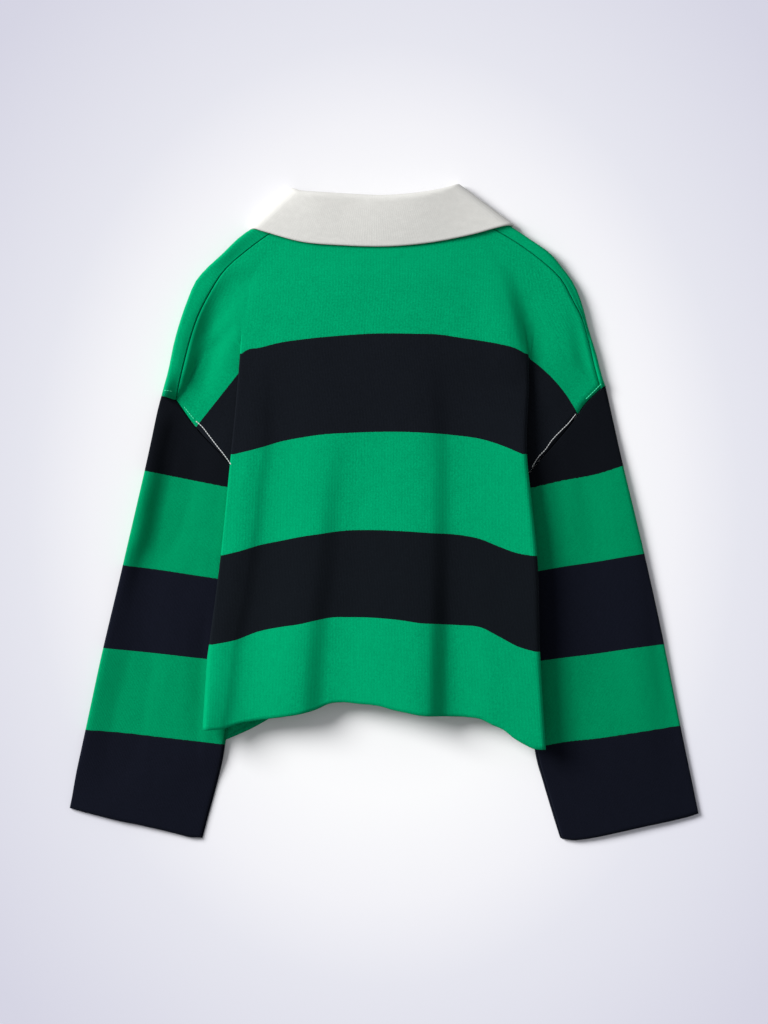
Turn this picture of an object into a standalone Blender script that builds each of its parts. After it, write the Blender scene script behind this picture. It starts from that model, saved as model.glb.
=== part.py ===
"""A cropped knitted sweater laid flat, back side up: back, front, two sleeves and a turned-down collar.

Plan sizes are in millimetres: +X to the right, +Y towards the neck and +Z up from the surface it lies on.
Every piece of cloth is an open sheet through rows of points, given its thickness by Solidify.
Each side of the body is tucked in as a pleat, and the sleeve lies in that pleat.
"""

import bmesh
import bpy
import numpy as np

MM = 0.001

# Cloth
CLOTH = 1.6
RIB = 2.2
SEAM_GAP = 0.5

# Height of the middle of each layer in the pleat, from the surface up
PITCH = 2.15
FRONT_BOTTOM = CLOTH / 2
FRONT_MIDDLE = FRONT_BOTTOM + PITCH
FRONT_TOP = FRONT_MIDDLE + PITCH
BACK_BOTTOM = FRONT_TOP + PITCH
BACK_MIDDLE = BACK_BOTTOM + PITCH
SIDE_SEAM_LAP = 0.1

# Heights of the shoulder fold, the neck and the collar
TIP_FOLD = 4.2
SHOULDER_FOLD = 5.1
NECK_FOLD = 5.3
SHOULDER_RISE = 1.6
NECK_FRONT = 3.9
NECK_BACK = 9.8
LEAF_FRONT = RIB / 2
LEAF_BACK = NECK_BACK + CLOTH / 2 + 0.6 + RIB / 2
LEAF_EDGE_LIFT = 1.6
ROLL_WIDTH = 3.4
COLLAR_GAP = 0.9
FOLD_CLEARANCE = 1.0
FOLD_ROLL = 7.6

# Rows of each body panel, counted in stripes: 0 is the hem, 4 the top of the upper stripe, 5 the neck
UNDERARM = 2.6
TIP = 4.33
SIDE_ROWS = (0.0, 0.45, 0.9, 1.35, 1.8, 2.25)
SHOULDER = 4.6
NECK = 5.0
ARMHOLE_ROWS = (UNDERARM, 2.8, 3.05, 3.3, 3.55, 3.8, 4.0, 4.17, TIP)
SHOULDER_ROWS = (4.43, 4.53, 4.63, 4.73, 4.83, 4.92, NECK)
ROWS = SIDE_ROWS + ARMHOLE_ROWS + SHOULDER_ROWS

# Points along a row through one pleat: the lower layer, a turn, the middle layer and a turn
LOWER_STEPS = (0.0, 0.35, 0.7)
MIDDLE_STEPS = (0.12, 0.55, 1.0)
TURN_POINTS = 4
PLEAT_POINTS = len(LOWER_STEPS) + 1 + TURN_POINTS + len(MIDDLE_STEPS) + TURN_POINTS
MIDDLE_START = len(LOWER_STEPS) + TURN_POINTS
OPEN_SHARE = 0.8

# Y of a row of the back between its two pleats, at nine even steps from the left fold to the right
BACK_COURSES = (
    # row, y at each step
    (0, -227.3, -218.9, -211.6, -198.5, -202.1, -212.1, -213.4, -227.3, -247.7),
    (1, -137.6, -126.0, -118.1, -110.8, -109.7, -114.5, -117.1, -127.6, -145.4),
    (2, -43.6, -35.8, -26.3, -19.1, -18.2, -19.8, -23.2, -36.2, -44.6),
    (3, 62.5, 72.3, 79.8, 83.5, 84.2, 83.9, 81.4, 75.1, 61.4),
    (4, 167.5, 176.2, 182.2, 186.6, 187.4, 187.1, 184.8, 178.3, 166.4),
    (5, 303.0, 300.3, 298.4, 297.1, 296.6, 297.0, 298.4, 301.0, 305.0),
)

# Height of the same rows of the back
BACK_HEIGHTS = (
    # row, z at each step
    (0, 24.0, 20, 27, 19, 23, 30, 19, 23, 30.0),
    (1, 14.5, 17, 22, 17, 20, 25, 17.5, 21.5, 30.0),
    (2, 12.0, 15, 18.5, 16.5, 18, 20.5, 16.5, 20, 28.0),
    (3, 11.6, 14, 16.5, 16.5, 17, 18, 16, 17.5, 22.0),
    (4, 11.6, 13.5, 15.5, 16.5, 18, 18.5, 17.5, 16.5, 14.5),
    (4.6, 10.5, 12.5, 14.0, 15, 15, 15, 14.0, 12.5, 11.5),
    (4.8, 10.2, 11, 11.5, 11.8, 12, 11.8, 11.5, 11, 10.2),
    (5, *[NECK_BACK] * 9),
)

# The front is hidden, so its rows are plainer and end short of the hem of the back
FRONT_COURSES = (
    # row, y at each step
    (0, -235.7, -223.0, -203.0, -195.0, -193.0, -195.0, -203.0, -221.0, -238.0),
    (1, -139.0, -128.0, -116.0, -110.0, -108.0, -110.0, -118.0, -130.0, -145.0),
    (2, -44.0, -37.0, -29.0, -25.0, -24.0, -25.0, -29.0, -38.0, -46.0),
    (3, 62.0, 70.0, 73.0, 74.0, 74.0, 74.0, 73.0, 70.0, 61.0),
    (4, 167.0, 169.0, 170.0, 170.0, 170.0, 170.0, 170.0, 169.0, 166.0),
)

# Neckline of the front, and how far its edge is raised by the collar folded under it
V_POINT = (0.0, 170.0)
V_TOP = (100.0, 312.0)
V_RAISE_NEAR = 80.0
V_RAISE_FAR = 110.0
SHOULDER_BOW = 32.0
STRAP_SHARE = (0.45, 0.75)
FRONT_INSET = 3.0
YOKE_LENGTH = 100.0

LEFT = {
    "sign": -1,
    "dip": 20.0,
    # row, x of the outer fold, depth of the pleat, how closely it is folded
    "folds": (
        (0.0, -185.9, 58, 1.0),
        (1.0, -179.6, 57, 1.0),
        (2.0, -169.1, 56, 1.0),
        (2.6, -162.8, 54, 1.0),
        (3.0, -158.6, 43, 1.0),
        (3.5, -153.5, 28, 1.0),
        (4.0, -149.1, 11, 1.0),
        (4.17, -147.5, 3, 0.6),
        (4.33, -145.0, 0, 0.0),
        (4.6, -137.0, 0, 0.0),
        (4.8, -118.0, 0, 0.0),
        (5.0, -82.0, 0, 0.0),
    ),
    "side_seam": ((-128.0, -212.0), (-112.0, 1.7)),
    "armhole": ((-115.5, -1.5), (-159.6, 50.9), (-200.0, 94.0), (-218.4, 120.2)),
    "front_armhole": ((-115.5, -1.5), (-159.6, 50.9), (-200.0, 94.0), (-230.6, 122.4)),
    "shoulder_seam": (
        (-218.4, 120.2),
        (-211.1, 151.7),
        (-202.7, 184.3),
        (-195.3, 206.3),
        (-182.2, 232.1),
        (-169.1, 252.5),
        (-144.9, 274.6),
        (-120.8, 292.4),
        (-100.8, 305.0),
    ),
    "shoulder_fold": (
        (-233.1, 124.4),
        (-226.8, 146.5),
        (-219.5, 181.1),
        (-213.2, 203.2),
        (-205.8, 224.2),
        (-196.4, 245.2),
        (-186.9, 256.2),
        (-171.2, 270.4),
        (-148.1, 288.2),
        (-109.2, 315.0),
    ),
    "neck_edge": ((0.0, 170.0), (-38.0, 219.0), (-74.0, 267.5), (-98.0, 303.0)),
    "sleeve_outer": (
        (-233.1, 124.4),
        (-249.9, 44.6),
        (-273.0, -55.1),
        (-294.0, -143.3),
        (-311.9, -226.3),
        (-329.7, -307.1),
    ),
    "sleeve_inner": (
        (-115.5, -1.5),
        (-138.0, -78.0),
        (-154.0, -160.0),
        (-164.9, -233.6),
        (-171.2, -269.3),
        (-190.1, -339.7),
    ),
}

RIGHT = {
    "sign": 1,
    "dip": 27.0,
    "folds": (
        (0.0, 165.0, 53, 1.0),
        (1.0, 159.0, 50, 1.0),
        (2.0, 156.0, 48, 1.0),
        (2.6, 149.5, 47, 1.0),
        (3.0, 145.3, 32, 1.0),
        (3.5, 146.4, 14, 1.0),
        (3.8, 148.0, 4, 1.0),
        (4.0, 148.5, 0, 0.5),
        (4.17, 146.0, 0, 0.2),
        (4.33, 142.0, 0, 0.0),
        (4.6, 133.0, 0, 0.0),
        (4.8, 114.0, 0, 0.0),
        (5.0, 74.0, 0, 0.0),
    ),
    "side_seam": ((112.4, -214.0), (107.4, -4.6)),
    "armhole": ((111.0, -8.0), (152.3, 43.6), (202.7, 103.4), (209.0, 112.9), (227.2, 131.2)),
    "front_armhole": ((111.0, -8.0), (152.3, 43.6), (202.7, 103.4), (229.6, 132.9)),
    "shoulder_seam": (
        (227.2, 131.2),
        (220.0, 157.0),
        (214.2, 181.1),
        (206.9, 206.3),
        (198.5, 222.1),
        (185.9, 245.2),
        (165.9, 264.1),
        (141.8, 281.9),
        (116.6, 297.2),
        (92.4, 311.3),
    ),
    "shoulder_fold": (
        (232.1, 134.9),
        (230.0, 140.2),
        (222.6, 167.5),
        (214.2, 194.8),
        (207.9, 218.9),
        (198.5, 242.0),
        (186.9, 257.8),
        (174.3, 272.5),
        (156.5, 285.1),
        (138.6, 297.2),
        (100.5, 320.5),
    ),
    "neck_edge": ((0.0, 170.0), (36.5, 219.0), (72.0, 267.5), (90.0, 307.0)),
    "sleeve_outer": (
        (231.0, 134.9),
        (250.0, 49.9),
        (272.4, -43.6),
        (293.2, -138.1),
        (310.6, -222.6),
        (330.0, -315.0),
    ),
    "sleeve_inner": (
        (111.0, -8.0),
        (133.0, -86.0),
        (147.0, -170.0),
        (157.8, -248.3),
        (167.2, -284.0),
        (184.4, -341.0),
    ),
}

# Collar, from the left front end round the back of the neck to the right front end
COLLAR_SECTIONS = (
    # seam x, y, roll x, y, leaf edge x, y, turn (-90 under the front, 90 on top of the back)
    (-4.5, 175.8, -2.0, 181.0, -50.0, 138.0, -90),
    (-38.0, 219.0, -27.0, 228.0, -72.0, 190.0, -90),
    (-74.0, 267.5, -58.0, 280.0, -104.0, 241.0, -90),
    (-98.0, 303.0, -82.0, 318.0, -132.0, 273.0, -90),
    (-105.5, 311.5, -92.5, 335.0, -138.0, 294.8, -72),
    (-108.5, 315.0, -95.6, 338.6, -140.0, 297.5, 0),
    (-105.0, 310.5, -93.0, 338.8, -135.0, 298.0, 62),
    (-100.3, 305.6, -86.0, 337.0, -124.0, 294.6, 90),
    (-76.0, 302.4, -66.0, 335.6, -86.1, 284.4, 90),
    (-38.0, 298.6, -34.0, 333.6, -46.0, 280.8, 90),
    (0.0, 297.3, -2.0, 332.3, 2.0, 279.6, 90),
    (36.0, 299.0, 30.0, 334.4, 46.2, 283.3, 90),
    (70.0, 305.3, 56.0, 338.4, 88.2, 291.1, 90),
    (92.6, 312.0, 68.0, 341.4, 117.0, 298.8, 90),
    (97.0, 317.0, 73.0, 342.6, 128.5, 301.6, 62),
    (100.0, 320.5, 75.6, 342.3, 135.5, 302.0, 0),
    (98.0, 317.0, 73.8, 339.4, 133.9, 299.2, -72),
    (90.0, 307.0, 64.0, 322.0, 128.0, 277.0, -90),
    (72.0, 267.5, 57.0, 280.0, 102.0, 241.0, -90),
    (36.5, 219.0, 26.0, 228.0, 71.0, 190.0, -90),
    (4.5, 175.8, 2.0, 181.0, 50.0, 138.0, -90),
)
COLLAR_STATIONS = 33
STAND_STEPS = (0.0, 0.5, 1.0)
LEAF_STEPS = (0.33, 0.66, 1.0)
ROLL_POINTS = 3

# Sleeves
SLEEVE_STATIONS = (0.0, 0.05, 0.14, 0.26, 0.4, 0.54, 0.66, 0.76, 0.85, 0.93, 1.0)
SLEEVE_FOLD = 3.4
SLEEVE_REST = 5.1
CUFF_REST = 3.0
FLATTENED = (-300.0, -120.0)
SLEEVE_LOFT = 4.8
LOFT_STATION = 0.25
OPENING_STATION = 0.05
CROWN_STEPS = (0.2, 0.6)
INNER_SEAM_INSET = 1.2
TURN_REACH = 2.0
UNDERARM_CLEARANCE = 0.025
ARMHOLE_SLOPE = (0.75, 0.66)
ARMHOLE_GAP = 0.75

# Where the sleeve climbs into the pleat: past the fold, below the hem and at the top of the pleat
PLEAT_RAMP = (40.0, 12.0)
HEM_RAMP = (-245.0, -285.0)
TOP_RAMP = (135.0, 175.0)

COLOURS = {
    "knit_green": (0.0, 0.36, 0.13, 1.0),
    "knit_navy": (0.006, 0.008, 0.014, 1.0),
    "rib_white": (0.72, 0.70, 0.66, 1.0),
}


def ease(t):
    """0 to 1 with a soft start and end."""
    t = np.clip(t, 0.0, 1.0)
    return t * t * (3 - 2 * t)


def smooth(stations, values, at):
    """A smooth curve through values at rising stations."""
    stations = np.asarray(stations, float)
    values = np.asarray(values, float)
    slopes = np.gradient(values, stations, axis=0)
    i = int(np.clip(np.searchsorted(stations, at) - 1, 0, len(stations) - 2))
    span = stations[i + 1] - stations[i]
    t = (at - stations[i]) / span
    start = (2 * t**3 - 3 * t**2 + 1) * values[i] + (t**3 - 2 * t**2 + t) * span * slopes[i]
    end = (3 * t**2 - 2 * t**3) * values[i + 1] + (t**3 - t**2) * span * slopes[i + 1]
    return start + end


def along(points, fraction):
    """The point this fraction of the way along a line of points."""
    points = np.asarray(points, float)
    steps = np.linalg.norm(np.diff(points, axis=0), axis=1)
    reach = np.concatenate([[0.0], np.cumsum(steps)]) / steps.sum()
    return np.array([np.interp(fraction, reach, points[:, i]) for i in range(2)])


def across(points, fraction):
    """The unit vector across a line of points, to the left of its direction."""
    before = along(points, max(fraction - 0.02, 0.0))
    after = along(points, min(fraction + 0.02, 1.0))
    step = (after - before) / np.linalg.norm(after - before)
    return np.array([-step[1], step[0]])


def from_table(table, row, u):
    """A value between the rows and the even steps of a table, u from 0 at the left to 1 at the right."""
    rows = [line[0] for line in table]
    steps = np.linspace(0.0, 1.0, len(table[0]) - 1)
    return float(np.interp(row, rows, [smooth(steps, line[1:], u) for line in table]))


def fold_value(side, row, column):
    """A column of a side's fold table at a row."""
    rows = [line[0] for line in side["folds"]]
    return float(np.interp(row, rows, [line[column] for line in side["folds"]]))


def raise_of_front(x, y):
    """How much the front is lifted by the collar folded under its neckline, 0 to 1."""
    corner = np.array(V_POINT)
    top = np.array(V_TOP)
    step = (top - corner) / np.linalg.norm(top - corner)
    outward = np.array([step[1], -step[0]])
    distance = float(np.dot(np.array([abs(x), y]) - corner, outward))
    return float(ease((V_RAISE_FAR - distance) / (V_RAISE_FAR - V_RAISE_NEAR)))


def front_floor(x, y):
    """Height of the bottom layer of the front."""
    return FRONT_BOTTOM + (NECK_FRONT - FRONT_BOTTOM) * raise_of_front(x, y)


def inside_pleat(side, x, y):
    """1 where the sleeve lies in the pleat, easing to 0 beyond the fold and below the hem."""
    levels = [line[1] for line in FRONT_COURSES]
    fold = fold_value(side, float(np.interp(y, levels, range(len(levels)))), 1)
    past_fold = side["sign"] * (fold - x) + PLEAT_RAMP[0]
    below_hem = (y - HEM_RAMP[1]) / (HEM_RAMP[0] - HEM_RAMP[1])
    above_pleat = (TOP_RAMP[1] - y) / (TOP_RAMP[1] - TOP_RAMP[0])
    return float(ease(past_fold / (PLEAT_RAMP[0] - PLEAT_RAMP[1])) * ease(below_hem) * ease(above_pleat))


def lower_layer(side, x, y):
    """Height of the layer that joins the front to the sleeve."""
    return FRONT_BOTTOM + (FRONT_TOP - FRONT_BOTTOM) * inside_pleat(side, x, y)


def upper_layer(side, x, y):
    """Height of the layer that joins the back to the sleeve."""
    held = inside_pleat(side, x, y)
    rest = float(np.interp(y, FLATTENED, (CUFF_REST, SLEEVE_REST)))
    return held * BACK_BOTTOM + (1 - held) * rest


def seam_point(side, row):
    """The edge of the back at a row, moved half a seam gap into the panel, with its height."""
    if row < UNDERARM:
        return np.array([*along(side["side_seam"], row / UNDERARM), BACK_BOTTOM - SIDE_SEAM_LAP])
    if row <= TIP:
        fraction = (row - UNDERARM) / (TIP - UNDERARM)
        line = side["armhole"]
    else:
        fraction = (row - TIP) / (NECK - TIP)
        line = side["shoulder_seam"]
    point = along(line, fraction) + across(line, fraction) * side["sign"] * SEAM_GAP / 2
    if row <= TIP:
        return np.array([*point, upper_layer(side, *point)])
    return np.array([*point, seam_height(side, row)])


def seam_height(side, row):
    """Height of the cloth at the shoulder seam."""
    tip = upper_layer(side, *along(side["armhole"], 1.0))
    return float(np.interp(row, (TIP, SHOULDER, NECK), (tip, tip + SHOULDER_RISE, NECK_BACK)))


def turn(centre, direction, low, high, rising):
    """Points round a half circle from one height to the other, bulging along direction."""
    middle = (low + high) / 2
    radius = (high - low) / 2
    points = []
    for step in range(1, TURN_POINTS + 1):
        angle = np.pi * (step / TURN_POINTS - 0.5)
        height = middle + radius * np.sin(angle) * (1 if rising else -1)
        reach = radius * np.cos(angle)
        points.append([centre[0] + direction[0] * reach, centre[1] + direction[1] * reach, height])
    return points


def pleat(side, row, edge, fold, levels, folded):
    """Points of one row from a panel's edge through its pleat to the outer fold.

    levels are the heights of the lower, middle and outer layers.
    Under a raised fold the middle layer rises with it.
    """
    low, middle, top = levels
    rising = top > low
    lean = np.radians(side["dip"])
    inward = np.array([-side["sign"] * np.cos(lean), -np.sin(lean)])
    outward = np.array([side["sign"], 0.0])
    if row < UNDERARM:
        inner = edge[:2]
    else:
        inner = fold[:2] + inward * fold[2]
    points = []
    for step in LOWER_STEPS:
        place = edge[:2] + (inner - edge[:2]) * step
        points.append([*place, edge[2] + (low - edge[2]) * ease(step * 1.4)])
    points.append([*inner, low])
    bounds = (low, middle) if rising else (middle, low)
    points += turn(inner, inward, *bounds, rising)
    at_fold = max(middle, top - FOLD_ROLL)
    for step in MIDDLE_STEPS:
        place = inner + (fold[:2] - inner) * step
        points.append([*place, middle + (at_fold - middle) * ease(step) if rising else middle])
    bounds = (at_fold, top) if rising else (top, middle)
    points += turn(fold[:2], outward, *bounds, rising)
    points = np.array(points)
    if row < UNDERARM:
        points[MIDDLE_START, 2] = edge[2]
    if folded < 1.0:
        open_steps = len(LOWER_STEPS) + 1
        steps = np.linspace(0.0, OPEN_SHARE, open_steps)
        steps = np.append(steps, np.linspace(OPEN_SHARE, 1.0, PLEAT_POINTS - open_steps + 1)[1:])[:, None]
        flat = edge + (np.array([*fold[:2], top]) - edge) * steps
        flat[:, 2] = edge[2] + (top - edge[2]) * ease(steps[:, 0])
        points = flat + (points - flat) * folded
    return points


def missing_below_underarm(row, points):
    """The lower layer ends at the underarm, so the rows below it start at the side seam."""
    points = [tuple(point) for point in points]
    if row < UNDERARM:
        points[:MIDDLE_START] = [None] * MIDDLE_START
    return points


def sheet_mesh(name, grids):
    """A mesh of four-sided faces through grids of rows; None leaves a place out."""
    mesh = bmesh.new()
    for grid in grids:
        verts = [
            [None if point is None else mesh.verts.new([value * MM for value in point]) for point in row]
            for row in grid
        ]
        for here, above in zip(verts, verts[1:]):
            for i in range(len(here) - 1):
                corners = (here[i], here[i + 1], above[i + 1], above[i])
                if None not in corners:
                    mesh.faces.new(corners)
    bmesh.ops.remove_doubles(mesh, verts=mesh.verts, dist=0.02 * MM)
    data = bpy.data.meshes.new(name)
    mesh.to_mesh(data)
    mesh.free()
    return data


def material(name, roughness):
    made = bpy.data.materials.new(name)
    made.use_nodes = True
    surface = made.node_tree.nodes["Principled BSDF"]
    surface.inputs["Base Color"].default_value = COLOURS[name]
    surface.inputs["Roughness"].default_value = roughness
    surface.inputs["Metallic"].default_value = 0.0
    return made


def cloth(name, grids, thickness, finish, collection):
    """One piece of cloth: a sheet with its wall grown to both sides."""
    piece = bpy.data.objects.new(name, sheet_mesh(name, grids))
    collection.objects.link(piece)
    piece.data.materials.append(finish)
    piece.data.shade_smooth()
    wall = piece.modifiers.new("wall", "SOLIDIFY")
    wall.thickness = thickness * MM
    wall.offset = 0.0
    return piece


def back_rows():
    """Rows of the back from hem to neck, each from the left edge to the right."""
    grid = []
    for row in ROWS:
        ends = []
        for side, u in ((LEFT, 0.0), (RIGHT, 1.0)):
            edge = seam_point(side, row)
            top = from_table(BACK_HEIGHTS, row, u)
            x = fold_value(side, row, 1)
            fold = np.array([x, from_table(BACK_COURSES, row, u), fold_value(side, row, 2)])
            folded = fold_value(side, row, 3)
            levels = (BACK_BOTTOM, BACK_MIDDLE, top)
            ends.append(missing_below_underarm(row, pleat(side, row, edge, fold, levels, folded)))
        left_x = fold_value(LEFT, row, 1)
        right_x = fold_value(RIGHT, row, 1)
        middle = []
        for u in np.linspace(0.0, 1.0, 13)[1:-1]:
            x = left_x + (right_x - left_x) * u
            middle.append((x, from_table(BACK_COURSES, row, u), from_table(BACK_HEIGHTS, row, u)))
        grid.append(ends[0] + middle + ends[1][::-1])
    return grid


def shoulder_wrap(side, row):
    """Points of the front from its seam on the back, over the shoulder fold, to its lower layer."""
    fraction = (row - TIP) / (NECK - TIP)
    seam = along(side["shoulder_seam"], fraction)
    seam = seam - across(side["shoulder_seam"], fraction) * side["sign"] * SEAM_GAP / 2
    fold = along(side["shoulder_fold"], fraction)
    inward = across(side["shoulder_fold"], fraction) * side["sign"]
    low = front_floor(*(fold + inward * TIP_FOLD))
    rise = float(np.interp(row, (TIP, SHOULDER, NECK), (TIP_FOLD, SHOULDER_FOLD, NECK_FOLD)))
    radius = rise / 2
    start = fold + inward * radius
    seam_z = seam_height(side, row)
    points = [[*seam, seam_z], [*((seam + start) / 2), (seam_z + low + rise) / 2]]
    points.append([*start, low + rise])
    points += turn(start, -inward, low, low + rise, False)
    return points


def front_rows(side, u_steps):
    """Rows of one half of the front, each from its outer edge to the middle or to the neckline."""
    grid = []
    for row in ROWS:
        wrap = shoulder_wrap(side, row) if row >= TIP else None
        if row >= TIP:
            edge = np.array(wrap[-1])
        elif row >= UNDERARM:
            fraction = (row - UNDERARM) / (TIP - UNDERARM)
            line = side["front_armhole"]
            point = along(line, fraction) + across(line, fraction) * side["sign"] * SEAM_GAP / 2
            edge = np.array([*point, lower_layer(side, *point)])
        else:
            edge = np.array([*along(side["side_seam"], row / UNDERARM), FRONT_TOP + SIDE_SEAM_LAP])
        inner_fraction = max(row - 4.0, 0.0)
        neck = along(side["neck_edge"], inner_fraction)
        if row <= TIP:
            fold_x = fold_value(side, row, 1) - side["sign"] * FRONT_INSET
            u_outer = 0.0 if side is LEFT else 1.0
            above_stripes = max(row - 4.0, 0.0)
            fold_y = from_table(FRONT_COURSES, min(row, 4.0), u_outer) + above_stripes * YOKE_LENGTH
            depth = max(fold_value(side, row, 2) - FRONT_INSET, 0.0)
        else:
            ratio = float(np.interp(row, (TIP, NECK), STRAP_SHARE))
            fold_x, fold_y = edge[:2] + (neck - edge[:2]) * ratio
            fold_y += SHOULDER_BOW * (NECK - row) / (NECK - TIP)
            depth = 0.0
        floor = front_floor(fold_x, fold_y)
        levels = (FRONT_TOP, FRONT_MIDDLE, floor)
        folded = fold_value(side, row, 3)
        ends = pleat(side, row, edge, np.array([fold_x, fold_y, depth]), levels, folded)
        ends = missing_below_underarm(row, ends)
        middle = []
        for step in u_steps:
            if row < 4.0:
                left_x = fold_value(LEFT, row, 1) + FRONT_INSET
                right_x = fold_value(RIGHT, row, 1) - FRONT_INSET
                u = step / 2 if side is LEFT else 1 - step / 2
                x = left_x + (right_x - left_x) * u
                centre = (left_x + right_x) / 2
                x += (V_POINT[0] - centre) * (1 - abs(2 * u - 1)) * ease(row / 4.0)
                y = from_table(FRONT_COURSES, row, u)
            else:
                start = np.array([fold_x, fold_y])
                x, y = start + (neck - start) * step
            middle.append((x, y, front_floor(x, y)))
        missing = [None] * (TURN_POINTS + 2)
        outer = [tuple(point) for point in wrap[:-1]] if wrap else missing
        grid.append(outer + ends + middle)
    return grid


def collar_rows():
    """Rows of the collar, each from the neck seam up the stand, round the roll and down the leaf."""
    table = np.array(COLLAR_SECTIONS, float)
    stations = np.arange(len(table))
    middle = (LEAF_FRONT + LEAF_BACK) / 2
    grid = []
    for place in np.linspace(0, len(table) - 1, COLLAR_STATIONS):
        seam_x, seam_y, roll_x, roll_y, edge_x, edge_y, angle = smooth(stations, table, place)
        angle = np.radians(np.clip(angle, -90, 90))
        up = np.sin(angle)
        side = -1 if place < (len(table) - 1) / 2 else 1
        stand_z = (NECK_BACK + NECK_FRONT) / 2 + up * (NECK_BACK - NECK_FRONT) / 2
        leaf_z = middle + up * (LEAF_BACK - LEAF_FRONT) / 2
        seam = np.array([seam_x, seam_y])
        roll = np.array([roll_x, roll_y])
        direction = (roll - seam) / np.linalg.norm(roll - seam)
        seam = seam + direction * (COLLAR_GAP + FOLD_CLEARANCE * np.cos(angle))
        beside = side * np.array([direction[1], -direction[0]])
        offset = np.array([*(beside * np.cos(angle) * ROLL_WIDTH), leaf_z - stand_z])
        radius = float(np.linalg.norm(offset)) / 2
        low = np.array([*(roll - direction * radius), stand_z])
        points = [np.array([*seam, stand_z]) + (low - np.array([*seam, stand_z])) * t for t in STAND_STEPS]
        centre = low + offset / 2
        for step in range(1, ROLL_POINTS + 1):
            swing = np.pi * step / ROLL_POINTS
            forward = np.array([*direction, 0.0]) * radius * np.sin(swing)
            points.append(centre - offset / 2 * np.cos(swing) + forward)
        start = points[-1]
        end = np.array([edge_x, edge_y, leaf_z + LEAF_EDGE_LIFT * max(up, 0.0)])
        points += [start + (end - start) * t for t in LEAF_STEPS]
        grid.append([tuple(point) for point in points])
    return grid


def sleeve_opening(side):
    """The first ring of a sleeve, its back half then its front half, with each point's step across."""
    fold = np.array(side["shoulder_fold"][0])
    top_seam = np.array(side["armhole"][-1])
    upper = [fold + (top_seam - fold) * share for share in CROWN_STEPS]
    lower = []
    for row in ARMHOLE_ROWS[::-1]:
        fraction = max((row - UNDERARM) / (TIP - UNDERARM), UNDERARM_CLEARANCE)
        upper.append(along(side["armhole"], fraction))
        lower.append(along(side["front_armhole"], fraction))
    shift = np.array([side["sign"] * ARMHOLE_SLOPE[0], -ARMHOLE_SLOPE[1]]) * ARMHOLE_GAP
    upper = np.array(upper) + shift
    lower = np.array(lower) + shift
    span = np.array(side["armhole"][0]) + shift - upper[0]
    upper_steps = (upper - upper[0]) @ span / (span @ span)
    lower_steps = (lower - lower[0]) @ span / (span @ span)
    return upper, lower, upper_steps, lower_steps / lower_steps[-1]


def sleeve_rows(side):
    """Rings of a sleeve from the armhole to the cuff, each closed on itself."""
    upper, lower, upper_steps, lower_steps = sleeve_opening(side)
    top_half = list(zip(upper_steps, upper))
    under_half = list(zip(lower_steps[::-1], lower[::-1]))
    places = np.linspace(0.0, 1.0, len(side["sleeve_outer"]))
    grid = []
    for station in SLEEVE_STATIONS:
        outer = smooth(places, side["sleeve_outer"], station)
        inner = smooth(places, side["sleeve_inner"], station)
        width = (inner - outer) / np.linalg.norm(inner - outer)
        outer_edge = outer + width * SLEEVE_FOLD / 2
        inner_edge = inner - width * INNER_SEAM_INSET
        filled = np.sin(np.pi / 2 * min(station / LOFT_STATION, 1.0))
        at_armhole = max(1 - station / OPENING_STATION, 0.0)
        ring = []
        for half, on_top in ((top_half, True), (under_half, False)):
            for step, start in half:
                flat = outer_edge + (inner_edge - outer_edge) * step
                x, y = flat * (1 - at_armhole) + start * at_armhole
                height = lower_layer(side, x, y)
                if on_top:
                    loft = (SLEEVE_LOFT - SLEEVE_FOLD) * filled * (1 - inside_pleat(side, x, y))
                    height = upper_layer(side, x, y) + loft * np.sin(np.pi * step)
                ring.append([x, y, height])
            last = np.array(ring[-1])
            low, high = (lower_layer(side, last[0], last[1]), last[2]) if on_top else (last[2], ring[0][2])
            bulge = width * min(1.0, 2 * TURN_REACH / (high - low))
            ring += turn(last[:2], bulge if on_top else -bulge, low, high, not on_top)[:-1]
        ring.append(ring[0])
        grid.append([tuple(point) for point in ring])
    return grid


def main():
    for old in list(bpy.data.objects):
        bpy.data.objects.remove(old, do_unlink=True)
    collection = bpy.data.collections.new("cropped_sweater")
    bpy.context.scene.collection.children.link(collection)
    green = material("knit_green", 0.85)
    navy = material("knit_navy", 0.85)
    white = material("rib_white", 0.9)
    cloth("back_panel", [back_rows()], CLOTH, green, collection)
    half_steps = (0.25, 0.5, 0.75, 1.0)
    right_half = [row[::-1] for row in front_rows(RIGHT, half_steps)]
    front = [front_rows(LEFT, half_steps), right_half]
    cloth("front_panel", front, CLOTH, green, collection)
    cloth("sleeve_left", [sleeve_rows(LEFT)], CLOTH, navy, collection)
    cloth("sleeve_right", [sleeve_rows(RIGHT)], CLOTH, navy, collection)
    cloth("collar", [collar_rows()], RIB, white, collection)


main()
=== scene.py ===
"""A striped cropped sweater laid flat, back side up, on a pale floor under soft light."""

import bpy
import numpy as np
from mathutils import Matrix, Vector
from mathutils.bvhtree import BVHTree


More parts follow.
